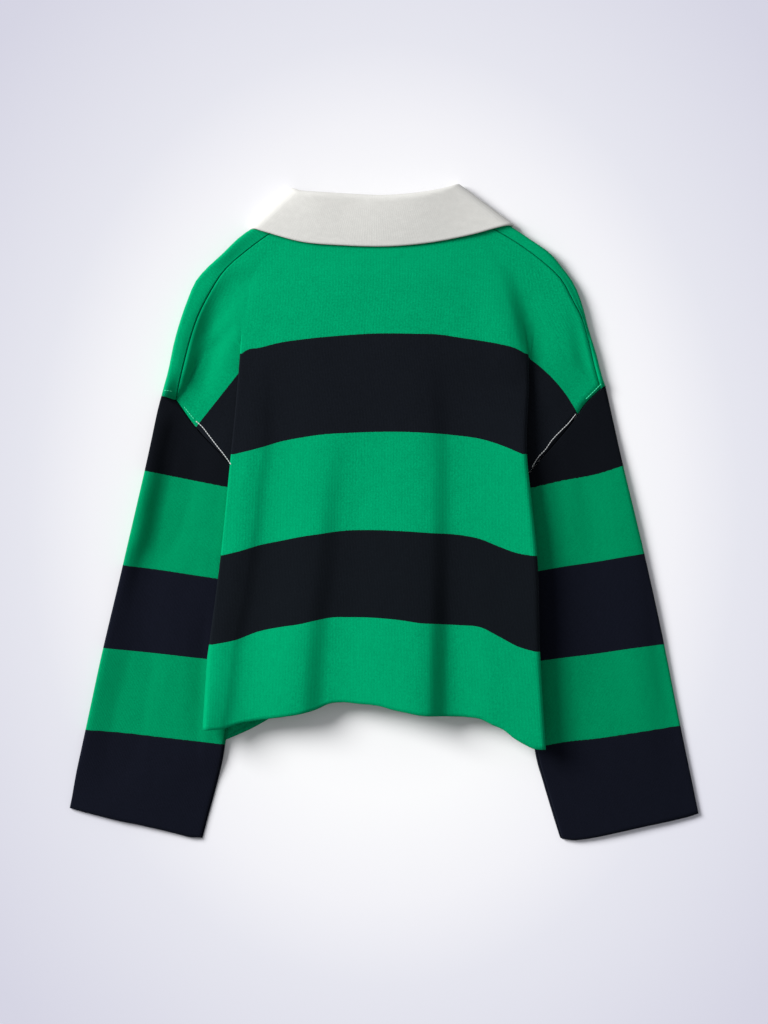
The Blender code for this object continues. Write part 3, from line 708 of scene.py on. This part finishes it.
def lay_folds(side, points, share):
    """Moves points by a share of the back's folds, less far down where a sleeve lies in the pleat below."""
    lowered = points[:, 2] + share * relief(BACK_FOLDS, *points.T[:2])
    lowest = blend(LOWEST_YOKE, LOWEST_BACK, inside_pleat(side, *points.T[:2]))
    points[:, 2] = np.maximum(lowered, np.minimum(points[:, 2], lowest))


def back_courses(xs):
    """y of the back's rows at their x values: the hem, stripe edges and neck with even rows between."""
    lines = [to_plan(line) for line in BACK_COURSES]
    found = []
    for row, at in zip(BODY_ROWS, xs):
        edges = np.array([curve(line[:, 0], line[:, 1], at) for line in lines])
        found.append(curve(range(len(lines)), edges, row)[0])
    return np.array(found)


def back_grid():
    """Points and stripe values of the back, from the hem up and from the left edge to the right."""
    steps = even(BODY_STEPS)
    folds = np.array([(fold_at(LEFT, row)[0], fold_at(RIGHT, row)[0]) for row in BODY_ROWS])
    xs = blend(folds[:, :1], folds[:, 1:], steps)
    courses = back_courses(xs)
    heights = surface_of(BACK_HEIGHTS, BODY_ROWS, steps)
    grid = []
    stripes = []
    for i, row in enumerate(BODY_ROWS):
        ends = []
        values = []
        for side, first in ((LEFT, 0), (RIGHT, -1)):
            edge = seam_point(side, row)
            x, depth, folded = fold_at(side, row)
            fold = np.array([x, courses[i, first], depth])
            levels = (BACK_BOTTOM, BACK_MIDDLE, heights[i, first])
            points = pleat(side, row, edge, fold, levels, folded)
            on_top = np.concatenate([np.zeros(2 * LAYER_STEPS + TURN_STEPS), ease(TURN_SHARES)])
            opened = np.ones(len(points)) if row > TIP else ease(np.arange(len(points)) / LAYER_STEPS)
            on_top = on_top * folded + opened * (1 - folded)
            lay_folds(side, points, on_top)
            value = np.full(len(points), row)
            share = even(LAYER_STEPS)
            value[:LAYER_STEPS] -= side["course_bow"] * 4 * share * (1 - share) * (row > UNDERARM)
            ends.append(without_lower_layer(row, points))
            values.append(value)
        body = np.column_stack([xs[i], courses[i], heights[i]])[1:-1]
        body[:, 2] += relief(BACK_FOLDS, *body.T[:2])
        row_points = np.vstack([ends[0], body, ends[1][::-1]])
        row_points[:, :2] *= 1 - np.maximum(row_points[:, 2:] - BACK_BOTTOM, 0.0) * MM / CAMERA_DISTANCE
        grid.append(row_points)
        stripes.append(np.concatenate([values[0], np.full(len(body), row), values[1][::-1]]))
    return np.array(grid), np.array(stripes)


def shoulder_wrap(side, row):
    """Points of the front from its seam on the back, over the shoulder fold, to its lower layer."""
    share = (row - TIP) / (NECK - TIP)
    fold_line = Line(side["shoulder_fold"])
    seam = inside_cut(side, Line(side["shoulder_seam"]), share, -1)
    fold = fold_line.at(share)
    inward = fold_line.beside(share) * side["sign"]
    low = float(front_floor(*(fold + inward * TIP_INSET)))
    rise = float(np.interp(row, (TIP, SHOULDER, NECK), side["shoulder_folds"]))
    steps = even(LAYER_STEPS)[:, None]
    seam_z = seam_height(side, row)
    crest = fold + inward * (rise + CLOTH) / 2
    rise += max(float(relief(BACK_FOLDS, *crest[:, None])[0]), 0.0)
    reach = min(rise / 2, TURN_REACH)
    start = fold + inward * (reach + CLOTH / 2)
    top = np.hstack([blend(seam, start, steps), blend(seam_z, low + rise, ease(steps))])
    lay_folds(side, top, 1 - ease(steps[:, 0]))
    wrap = np.vstack([top, turn(start, -inward * 2 * reach / rise, low, low + rise, False)])
    if row == TIP:
        wrap[:, 1] -= TIP_LAP * ease((wrap[:, 2] - low) * 2 / rise)
    return wrap


def front_grid(side):
    """Points of one half of the front, from the hem up and from the outer edge to the middle."""
    u_outer, towards = (0.0, 0.5) if side is LEFT else (1.0, -0.5)
    steps = even(FRONT_STEPS + 1)[1:]
    across = u_outer + towards * np.array([0.0, *steps])
    courses = surface_of(FRONT_COURSES, np.minimum(BODY_ROWS, YOKE), across)
    grid = []
    for i, row in enumerate(BODY_ROWS):
        outer = np.full((LAYER_STEPS + TURN_STEPS - 1, 3), np.nan)
        if row >= TIP:
            *outer, edge = shoulder_wrap(side, row)
        elif row >= UNDERARM:
            point = inside_cut(side, front_armhole(side), armhole_share(side, row))
            edge = np.array([*point, float(lower_layer(side, *point))])
        else:
            edge = np.array([*Line(side["side_seam"]).at(row / UNDERARM), FRONT_TOP + SIDE_SEAM_LAP])
        above_yoke = max(row - YOKE, 0.0)
        neck = Line(side["neck_edge"]).at(above_yoke)
        x, depth, folded = fold_at(side, row)
        if row <= TIP:
            fold = np.array([x - side["sign"] * FRONT_INSET, courses[i, 0] + above_yoke * YOKE_LENGTH])
            depth = max(depth - FRONT_INSET, 0.0)
        else:
            ratio = float(np.interp(row, (TIP, NECK), STRAP_SHARE))
            fold = blend(edge[:2], neck, ratio)
            fold[1] += SHOULDER_BOW * (NECK - row) / (NECK - TIP)
            depth = 0.0
        levels = (FRONT_TOP, FRONT_MIDDLE, float(front_floor(*fold)))
        ends = pleat(side, row, edge, np.array([*fold, depth]), levels, folded)
        if row < YOKE:
            left_x = fold_at(LEFT, row)[0] + FRONT_INSET
            right_x = fold_at(RIGHT, row)[0] - FRONT_INSET
            u = u_outer + towards * steps
            xs = blend(left_x, right_x, u)
            xs += (V_POINT[0] - (left_x + right_x) / 2) * (1 - np.abs(2 * u - 1)) * ease(row / YOKE)
            middle = np.column_stack([xs, courses[i, 1:]])
        else:
            middle = blend(fold, neck, steps[:, None])
        middle = np.column_stack([middle, front_floor(*middle.T)])
        grid.append(np.vstack([outer, without_lower_layer(row, ends), middle]))
    grid = np.array(grid)
    return grid, np.repeat(BODY_ROWS[:, None], grid.shape[1], axis=1)


def collar_grid():
    """Points of the collar, from one front end to the other and from the neck seam to the leaf's edge."""
    table = np.array(COLLAR_SECTIONS, float)
    rises = np.array(LEAF_RISES, float)
    places = np.linspace(0, len(table) - 1, COLLAR_STATIONS)
    middle = (LEAF_FRONT + LEAF_BACK) / 2
    grid = []
    for place in places:
        *plan, angle = curve(np.arange(len(table)), table, place)[0]
        seam, roll, edge = np.array(plan).reshape(3, 2)
        angle = np.radians(np.clip(angle, -90, 90))
        up = np.sin(angle)
        side = -1 if place < (len(table) - 1) / 2 else 1
        stand_z = (NECK_BACK + NECK_FRONT) / 2 + up * (NECK_BACK - NECK_FRONT) / 2
        leaf_z = middle + up * (LEAF_BACK - LEAF_FRONT) / 2
        direction = (roll - seam) / np.linalg.norm(roll - seam)
        seam = seam + direction * (COLLAR_GAP + FOLD_CLEARANCE * np.cos(angle))
        beside = side * np.array([direction[1], -direction[0]])
        roll_rise, fall = curve(rises[:, 0], rises[:, 1:], place)[0]
        roll_z = leaf_z + max(up, 0.0) * roll_rise
        offset = np.array([*(beside * np.cos(angle) * ROLL_WIDTH), roll_z - stand_z])
        radius = float(np.linalg.norm(offset)) / 2
        low = np.array([*(roll - direction * radius), stand_z])
        steps = even(STAND_STEPS + 1)[:, None]
        stand = blend(np.array([*seam, stand_z]), low, steps)
        swing = np.pi * TURN_SHARES[:, None]
        forward = np.array([*direction, 0.0]) * radius * np.sin(swing)
        roll_points = low + offset / 2 - offset / 2 * np.cos(swing) + forward
        start = roll_points[-1]
        end = np.array([*edge, leaf_z + LEAF_EDGE_LIFT * max(up, 0.0)])
        steps = even(LEAF_STEPS + 1)[1:, None]
        leaf = blend(start, end, steps)
        leaf[:, 2] = blend(start[2], end[2], steps[:, 0] ** fall)
        grid.append(np.vstack([stand, roll_points, leaf]))
    return np.array(grid)


def sleeve_opening(side):
    """The first ring of a sleeve, its back half then its front half, with each point's step across."""
    fold = np.array(side["shoulder_fold"][0])
    back = Line(side["armhole"])
    front = front_armhole(side)
    shares = np.linspace(1.0, UNDERARM_CLEARANCE, SLEEVE_STEPS - len(CROWN_STEPS))
    upper = [blend(fold, back.points[-1], share) for share in CROWN_STEPS]
    upper += [back.at(share) for share in shares]
    lower = [front.at(share) for share in shares]
    shift = np.array([side["sign"] * ARMHOLE_SLOPE[0], -ARMHOLE_SLOPE[1]]) * SLEEVE_GAP
    upper = np.array(upper) + shift
    lower = np.array(lower) + shift
    span = back.points[0] + shift - upper[0]
    upper_steps = (upper - upper[0]) @ span / (span @ span)
    lower_steps = (lower - lower[0]) @ span / (span @ span)
    return upper, lower, upper_steps, lower_steps / lower_steps[-1]


def sleeve_stripe(side, x, y):
    """Stripe value of places on a sleeve: 3 at the first edge below the armhole, 0 at the cuff's."""
    table = np.array(side["sleeve_stripes"], float)
    plan_x = (table[:, 0] - PIXEL_CENTRE[0]) * PIXEL
    edges = (PIXEL_CENTRE[1] - table[:, 1:]) * PIXEL
    at = curve(plan_x, edges, x)
    below, above = STRIPES_BEYOND
    levels = np.column_stack([at[:, 3] - below, at[:, ::-1], at[:, 0] + above])
    return np.array([np.interp(value, line, (-1, 0, 1, 2, 3, 4)) for value, line in zip(y, levels)])


def sleeve_grid(side):
    """Points and stripe values of a sleeve, in rings from the armhole to the cuff."""
    upper, lower, upper_steps, lower_steps = sleeve_opening(side)
    places = even(len(side["sleeve_outer"]))
    grid = []
    for station in SLEEVE_STATIONS:
        outer = curve(places, side["sleeve_outer"], station)[0]
        inner = curve(places, side["sleeve_inner"], station)[0]
        width = (inner - outer) / np.linalg.norm(inner - outer)
        outer_edge = outer + width * SLEEVE_FOLD / 2
        inner_edge = inner - width * INNER_SEAM_INSET
        filled = np.sin(np.pi / 2 * min(station / LOFT_STATION, 1.0))
        at_armhole = 1 - ease(station / OPENING_STATION)
        halves = []
        sides = ((upper_steps, upper, True), (lower_steps[::-1], lower[::-1], False))
        for steps, start, on_top in sides:
            flat = blend(outer_edge, inner_edge, steps[:, None])
            shares, bows = zip(*side["cuff_bow"])
            flat[:, 1] -= np.interp(steps, shares, bows) * ramp(station, CUFF_STATION, 1)
            xy = flat * (1 - at_armhole) + start * at_armhole
            height = lower_layer(side, *xy.T)
            if on_top:
                loft = (SLEEVE_LOFT - SLEEVE_FOLD) * filled * (1 - inside_pleat(side, *xy.T))
                height = upper_layer(side, *xy.T) + loft * np.sin(np.pi * steps)
                folds = relief(side["sleeve_folds"], *xy.T)
                folds = folds * beyond_fold(side, *xy.T) * ease(station / FOLD_STATION)
                height = np.maximum(height + folds, np.minimum(height, LOWEST_SLEEVE))
            halves.append(np.column_stack([xy, height]))
        top, under = halves
        inner_low = float(lower_layer(side, *top[-1, :2]))
        turns = []
        ends = (
            (top[-1], width, inner_low, top[-1, 2], False),
            (under[-1], -width, under[-1, 2], top[0, 2], True),
        )
        for centre, outward, low, high, rising in ends:
            reach = min(1.0, 2 * TURN_REACH / (high - low))
            turns.append(turn(centre[:2], outward * reach, low, high, rising)[:-1])
        grid.append(np.vstack([top, turns[0], under, turns[1], top[:1]]))
    grid = np.array(grid)
    stripes = np.array([sleeve_stripe(side, *ring.T[:2]) for ring in grid])
    return grid, stripes


def distances_across(grid):
    """Distance of each point along its row from the middle of the row."""
    steps = np.nan_to_num(np.linalg.norm(np.diff(grid, axis=1), axis=2))
    reach = np.concatenate([np.zeros((len(grid), 1)), np.cumsum(steps, axis=1)], axis=1)
    return reach - reach[:, reach.shape[1] // 2][:, None]


def knit_grid(points, up, stripes, closed=False):
    """A grid for sheet_object, whose distances up are one for each row or one for each point."""
    if up.ndim == 1:
        up = np.repeat(up[:, None], points.shape[1], axis=1)
    return points, distances_across(points), up, stripes, closed


def place_object(name, data):
    """A new object in the scene."""
    made = bpy.data.objects.new(name, data)
    bpy.context.scene.collection.objects.link(made)
    return made


def new_object(name, verts, faces, finish):
    """A new smooth mesh in the scene."""
    mesh = bpy.data.meshes.new(name)
    mesh.from_pydata(verts, [], faces)
    mesh.shade_smooth()
    mesh.materials.append(finish)
    return place_object(name, mesh)


def sheet_object(name, grids, wall, finish):
    """A sheet of cloth with a wall, of grids with distances across and up, stripes and if they close."""
    verts = []
    faces = []
    uvs = []
    stripe_values = []
    for points, across, up, stripes, closed in grids:
        present = ~np.isnan(points[:, :, 0])
        if closed:
            present[:, -1] = False
        index = np.full(present.shape, -1)
        index[present] = np.arange(present.sum()) + len(verts)
        verts += [tuple(point) for point in points[present] * MM]
        stripe_values += list(stripes[present])
        if closed:
            index[:, -1] = index[:, 0]
        rows, columns = index.shape
        for r in range(rows - 1):
            for c in range(columns - 1):
                corners = ((r, c), (r, c + 1), (r + 1, c + 1), (r + 1, c))
                ids = [int(index[corner]) for corner in corners]
                if min(ids) >= 0:
                    faces.append(ids)
                    uvs += [(across[corner] * MM, up[corner] * MM) for corner in corners]
    piece = new_object(name, verts, faces, finish)
    mesh = piece.data
    layer = mesh.uv_layers.new(name="knit")
    layer.data.foreach_set("uv", np.array(uvs, np.float32).ravel())
    values = mesh.attributes.new("stripe", "FLOAT", "POINT")
    values.data.foreach_set("value", np.array(stripe_values, np.float32))
    shell = piece.modifiers.new("wall", "SOLIDIFY")
    shell.thickness = wall * MM
    shell.offset = 0.0
    return piece


def stitch_object(name, line, radius, under, finish):
    """A row of short stitches that lie on the cloth along a line of the photograph's pixels."""
    graph = bpy.context.evaluated_depsgraph_get()
    surfaces = [BVHTree.FromObject(piece, graph) for piece in under]
    path = Line(to_plan(line))
    pitch = STITCH_LENGTH + STITCH_GAP
    count = int(path.length // pitch)
    shares, sizes = zip(*STITCH_PROFILE)
    down = Vector((0, 0, -1))
    verts = []
    faces = []
    for i in range(count):
        places = (np.array(shares) * STITCH_LENGTH + i * pitch) / path.length
        for k, (share, size) in enumerate(zip(places, sizes)):
            x, y = path.at(share) * MM
            side = path.beside(share)
            beside = [(x + side[0] * aside, y + side[1] * aside) for aside in STITCH_FEELERS]
            starts = [Vector((*at, FEELER_START)) for at in beside]
            hits = [surface.ray_cast(start, down)[0] for surface in surfaces for start in starts]
            z = max(hit.z for hit in hits if hit is not None)
            for angle in np.arange(STITCH_SIDES) / STITCH_SIDES * 2 * np.pi:
                out = radius * size * MM * np.cos(angle)
                up = radius * size * MM * (np.sin(angle) * STITCH_FLATNESS + STITCH_RISE)
                verts.append((x + side[0] * out, y + side[1] * out, z + up))
            if k:
                base = len(verts) - STITCH_SIDES
                for a in range(STITCH_SIDES):
                    b = (a + 1) % STITCH_SIDES
                    faces.append((base - STITCH_SIDES + a, base - STITCH_SIDES + b, base + b, base + a))
        first = len(verts) - len(sizes) * STITCH_SIDES
        faces.append(tuple(range(first, first + STITCH_SIDES)))
        faces.append(tuple(range(len(verts) - 1, len(verts) - STITCH_SIDES - 1, -1)))
    return new_object(name, verts, faces, finish)


class Nodes:
    """Short calls for the nodes of one material."""

    def __init__(self, name):
        self.material = bpy.data.materials.new(name)
        self.material.use_nodes = True
        self.tree = self.material.node_tree
        self.surface = self.tree.nodes["Principled BSDF"]

    def set(self, node, values):
        """Values or links for a node's inputs."""
        for key, value in values.items():
            if isinstance(value, bpy.types.NodeSocket):
                self.tree.links.new(value, node.inputs[key])
            else:
                node.inputs[key].default_value = value

    def node(self, kind, inputs=None, **settings):
        """A new node."""
        made = self.tree.nodes.new(kind)
        for key, value in settings.items():
            setattr(made, key, value)
        self.set(made, inputs or {})
        return made

    def math(self, operation, *values):
        """The result of an operation on numbers."""
        return self.node("ShaderNodeMath", dict(enumerate(values)), operation=operation).outputs[0]

    def mix(self, factor, first, second):
        """The first colour at 0 and the second at 1."""
        inputs = {0: factor, 6: first, 7: second}
        return self.node("ShaderNodeMix", inputs, data_type="RGBA").outputs[2]

    def noise(self, scale, detail=DETAIL):
        """Noise round 0.5."""
        return self.node("ShaderNodeTexNoise", {"Scale": scale, "Detail": detail}).outputs["Fac"]

    def vector(self, operation, inputs, output="Vector"):
        """The result of an operation on vectors or colours."""
        return self.node("ShaderNodeVectorMath", inputs, operation=operation).outputs[output]

    def scaled(self, colour, factor):
        """A colour times a factor."""
        return self.vector("SCALE", {0: colour, "Scale": factor})

    def cloth(self):
        """Distances across and up the cloth in metres."""
        place = self.node("ShaderNodeUVMap", uv_map="knit").outputs[0]
        return self.node("ShaderNodeSeparateXYZ", {0: place}).outputs[:2]

    def bump(self, strength, distance, height):
        """A normal from a height."""
        inputs = {"Strength": strength, "Distance": distance, "Height": height}
        return self.node("ShaderNodeBump", inputs).outputs[0]

    def finish(self, colour, normal, roughness, **others):
        """The material, with other surface values under their names with _ for a space."""
        self.set(self.surface, {"Base Color": colour, "Roughness": roughness, "Normal": normal})
        self.set(self.surface, {name.replace("_", " "): value for name, value in others.items()})
        return self.material

    def mottle_and_painted_shade(self, height, scales, grain, relief_shade):
        """Colour variation: soft clouds, grain of a strength, and painted shade in the hollows of a height.
        """
        clouds, fine = (self.noise(scale, FINE_DETAIL) for scale in scales)
        cloud = self.spread(clouds, *CLOUD_RANGE)
        fine = self.spread(fine, 1 - grain, 1 + grain)
        hollows = self.math("MULTIPLY_ADD", height, *relief_shade)
        return self.math("MULTIPLY", self.math("MULTIPLY", cloud, fine), hollows)

    def spread(self, value, low, high):
        """Noise round 0.5 stretched to a range."""
        inputs = {"Value": value, "From Min": 0.3, "From Max": 0.7, "To Min": low, "To Max": high}
        return self.node("ShaderNodeMapRange", inputs).outputs["Result"]


def stitches(nodes, across, up, wale, course):
    """Height of plain knit stitches, 0 to 1, with wales and courses of these widths in metres."""
    a = nodes.math("DIVIDE", across, wale)
    b = nodes.math("DIVIDE", up, course)
    from_edge = nodes.math("PINGPONG", a, 0.5)
    rib = nodes.math("SINE", nodes.math("MULTIPLY", from_edge, np.pi))
    slanted = nodes.math("SUBTRACT", b, nodes.math("MULTIPLY", from_edge, LOOP_SLANT))
    loop = nodes.math("COSINE", nodes.math("MULTIPLY", slanted, 2 * np.pi))
    return nodes.math("MULTIPLY_ADD", loop, LOOP_HEIGHT, nodes.math("MULTIPLY", rib, WALE_HEIGHT))


def knit_material(name, green, navy, upper_navy):
    """Fine matte double knit in green and navy, striped by the stripe value of the cloth.

    The upper navy stripes get their own colour: darker on the sleeves, as painted shade against the key
    light's sheen there, and lighter on the body.
    """
    nodes = Nodes(name)
    stripe = nodes.node("ShaderNodeAttribute", attribute_name="stripe").outputs["Fac"]
    height = stitches(nodes, *nodes.cloth(), WALE, COURSE)
    fibres = nodes.noise(FIBRE_SCALE, FINE_DETAIL)
    below = nodes.math("SUBTRACT", stripe, EDGE_RAGGEDNESS / 2)
    ragged = nodes.math("MULTIPLY_ADD", nodes.noise(EDGE_SCALE), EDGE_RAGGEDNESS, below)
    is_navy = nodes.math("GREATER_THAN", nodes.math("FLOORED_MODULO", ragged, 2.0), 1.0)
    # Soft clouds and grain, with painted shade in the hollows of the stitches
    shade = nodes.mottle_and_painted_shade(height, *KNIT_MOTTLE_AND_SHADE)
    tint = nodes.mix(is_navy, GREEN_TINT, NAVY_TINT)
    is_upper = nodes.math("GREATER_THAN", stripe, UPPER_STRIPES)
    colour = nodes.mix(is_navy, green, nodes.mix(is_upper, navy, upper_navy))
    normal = nodes.bump(*KNIT_BUMP, nodes.math("MULTIPLY_ADD", fibres, FIBRE_HEIGHT, height))
    return nodes.finish(
        nodes.scaled(colour, shade),
        normal,
        0.9,
        Specular_IOR_Level=0.04,
        Specular_Tint=tint,
        Sheen_Weight=0.04,
        Sheen_Tint=tint,
        Sheen_Roughness=0.5,
    )


def rib_material(name, white):
    """Off-white rib with fine lines from the seam to the leaf's edge."""
    nodes = Nodes(name)
    across, up = nodes.cloth()
    rib = nodes.math("SINE", nodes.math("MULTIPLY", up, 2 * np.pi / RIB_PITCH))
    height = stitches(nodes, up, across, RIB_WALE, RIB_COURSE)
    height = nodes.math("MULTIPLY_ADD", rib, RIB_HEIGHT, height)
    # Painted shade in the hollows of the rib, with soft clouds and grain
    colour = nodes.scaled(white, nodes.mottle_and_painted_shade(height, *RIB_MOTTLE_AND_SHADE))
    normal = nodes.bump(*RIB_BUMP, height)
    return nodes.finish(colour, normal, 0.92, Specular_IOR_Level=0.1, Sheen_Weight=0.08)


def thread_material(name, colour):
    """Twisted yarn with a soft sheen."""
    nodes = Nodes(name)
    twist = nodes.noise(TWIST_SCALE)
    # Painted shade: the colour follows the twist's bump, darker where it lies low
    shaded = nodes.scaled(colour, nodes.spread(twist, *TWIST_RANGE))
    return nodes.finish(shaded, nodes.bump(*THREAD_BUMP, twist), 0.7, Sheen_Weight=0.1)


def floor_material(name):
    """Pale sheet with a painted pool of light: near white in the middle, darker and faintly lavender
    towards its rim, and divided by the key lamp's falloff as painted light and shade.
    """
    nodes = Nodes(name)
    # Painted pool of light, darker towards the rim
    place = nodes.node("ShaderNodeTexCoord").outputs["Object"]
    scale = (1 / FLOOR_LIGHT_POOL_REACH[0], 1 / FLOOR_LIGHT_POOL_REACH[1], 0.0)
    reach = nodes.vector("LENGTH", {0: nodes.vector("MULTIPLY", {0: place, 1: scale})}, "Value")
    ramp = nodes.node("ShaderNodeValToRGB")
    elements = ramp.color_ramp.elements
    while len(elements) < len(FLOOR_PAINTED_LIGHT_COLOURS):
        elements.new(0.5)
    for element, (at, *colour) in zip(elements, FLOOR_PAINTED_LIGHT_COLOURS):
        element.position = at
        element.color = (*colour, 1.0)
    nodes.set(ramp, {"Fac": nodes.math("MULTIPLY", reach, 0.5)})
    # Painted light and shade: the colour is divided by how the key lamp's light fades with distance, darker
    # near the lamp and lighter far from it
    apart = nodes.vector("DISTANCE", {0: place, 1: KEY_PLACE}, "Value")
    nearness = nodes.math("POWER", nodes.math("DIVIDE", KEY_DISTANCE, apart), KEY_FADE)
    lit = nodes.math("MULTIPLY_ADD", nearness, KEY_SHARE, 1 - KEY_SHARE)
    painted_against_key_falloff = nodes.scaled(ramp.outputs["Color"], nodes.math("DIVIDE", 1 / LIGHT_GAIN, lit))
    normal = nodes.bump(*FLOOR_BUMP, nodes.noise(FLOOR_SCALE))
    return nodes.finish(painted_against_key_falloff, normal, 0.95, Specular_IOR_Level=0.0)


def add_stage():
    """Floor, light and camera."""
    corners = [(x * FLOOR_HALF, y * FLOOR_HALF, 0) for x, y in ((-1, -1), (1, -1), (1, 1), (-1, 1))]
    floor = new_object("floor", corners, [(0, 1, 2, 3)], floor_material("pale_floor"))
    floor.location.z = -FLOOR_DROP
    key_data = bpy.data.lights.new("key", "AREA")
    key_data.shape = "DISK"
    key_data.size = KEY_SIZE
    key_data.energy = KEY_STRENGTH * np.pi * KEY_DISTANCE**2
    key = place_object("key", key_data)
    key.location = KEY_PLACE
    key.rotation_euler = Vector(KEY_DIRECTION).to_track_quat("Z", "Y").to_euler()
    key.visible_camera = False
    world = bpy.data.worlds.new("studio")
    world.use_nodes = True
    background = world.node_tree.nodes["Background"]
    background.inputs["Color"].default_value = FILL_COLOUR
    background.inputs["Strength"].default_value = FILL_STRENGTH
    bpy.context.scene.world = world
    camera_data = bpy.data.cameras.new("camera")
    camera_data.sensor_fit = "VERTICAL"
    camera_data.sensor_height = SENSOR
    camera_data.lens = SENSOR * CAMERA_DISTANCE / (PICTURE_HEIGHT * PIXEL * MM)
    camera = place_object("camera", camera_data)
    camera.location = (0.0, (PIXEL_CENTRE[1] - PICTURE_HEIGHT / 2) * PIXEL * MM, CAMERA_DISTANCE)
    bpy.context.scene.camera = camera
    bpy.context.scene.view_settings.view_transform = "Standard"


def main():
    """Every visible piece, its part and its sheet, then the stage."""
    body_knit = knit_material("body_knit", BODY_GREEN, BODY_NAVY, BODY_UPPER_NAVY)
    sleeve_knit_painted_shade = knit_material("sleeve_knit_painted_shade", SLEEVE_GREEN_PAINTED_SHADE, SLEEVE_NAVY, SLEEVE_UPPER_NAVY_PAINTED_SHADE)
    rib = rib_material("collar_rib", COLLAR_WHITE)
    thread = thread_material("seam_thread", THREAD)
    green_thread = thread_material("green_seam_thread", GREEN_THREAD)

    up = curve(*zip(*LENGTH_OF_ROWS), BODY_ROWS)
    points, stripes = back_grid()
    back = sheet_object("back_knit", [knit_grid(points, up, stripes)], CLOTH, body_knit)
    grids = []
    for side in (LEFT, RIGHT):
        points, stripes = front_grid(side)
        if side is RIGHT:
            points, stripes = points[:, ::-1], stripes[:, ::-1]
        grids.append(knit_grid(points, up, stripes))
    front = sheet_object("front_knit", grids, CLOTH, body_knit)
    pieces = {"back_panel": (back, "knit_body"), "front_panel": (front, "knit_front")}
    for name, side in (("sleeve_left", LEFT), ("sleeve_right", RIGHT)):
        points, stripes = sleeve_grid(side)
        grid = knit_grid(points, stripes * STRIPE_WIDTH, stripes, closed=True)
        pieces[name] = (sheet_object(name + "_knit", [grid], CLOTH, sleeve_knit_painted_shade), "knit_sleeve")
    points = collar_grid()
    steps = np.linalg.norm(np.diff(points[:, 0], axis=0), axis=1)
    up = np.concatenate([[0.0], np.cumsum(steps)])
    grid = knit_grid(points, up, np.zeros(points.shape[:2]))
    collar = sheet_object("collar_rib", [grid], RIB, rib)
    pieces["collar"] = (collar, "rib_collar")
    for node, (piece, slot) in pieces.items():
        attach(piece, "root")
        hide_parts(node)
    cloth = [piece for piece, slot in pieces.values()]
    for name, line in STITCH_LINES.items():
        on_green = not name.endswith("body")
        radius = THIN_STITCH_RADIUS if name == "stitch_right_body" else STITCH_RADIUS
        piece = stitch_object(name, line, radius, cloth, green_thread if on_green else thread)
        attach(piece, "root")
    add_stage()


main()
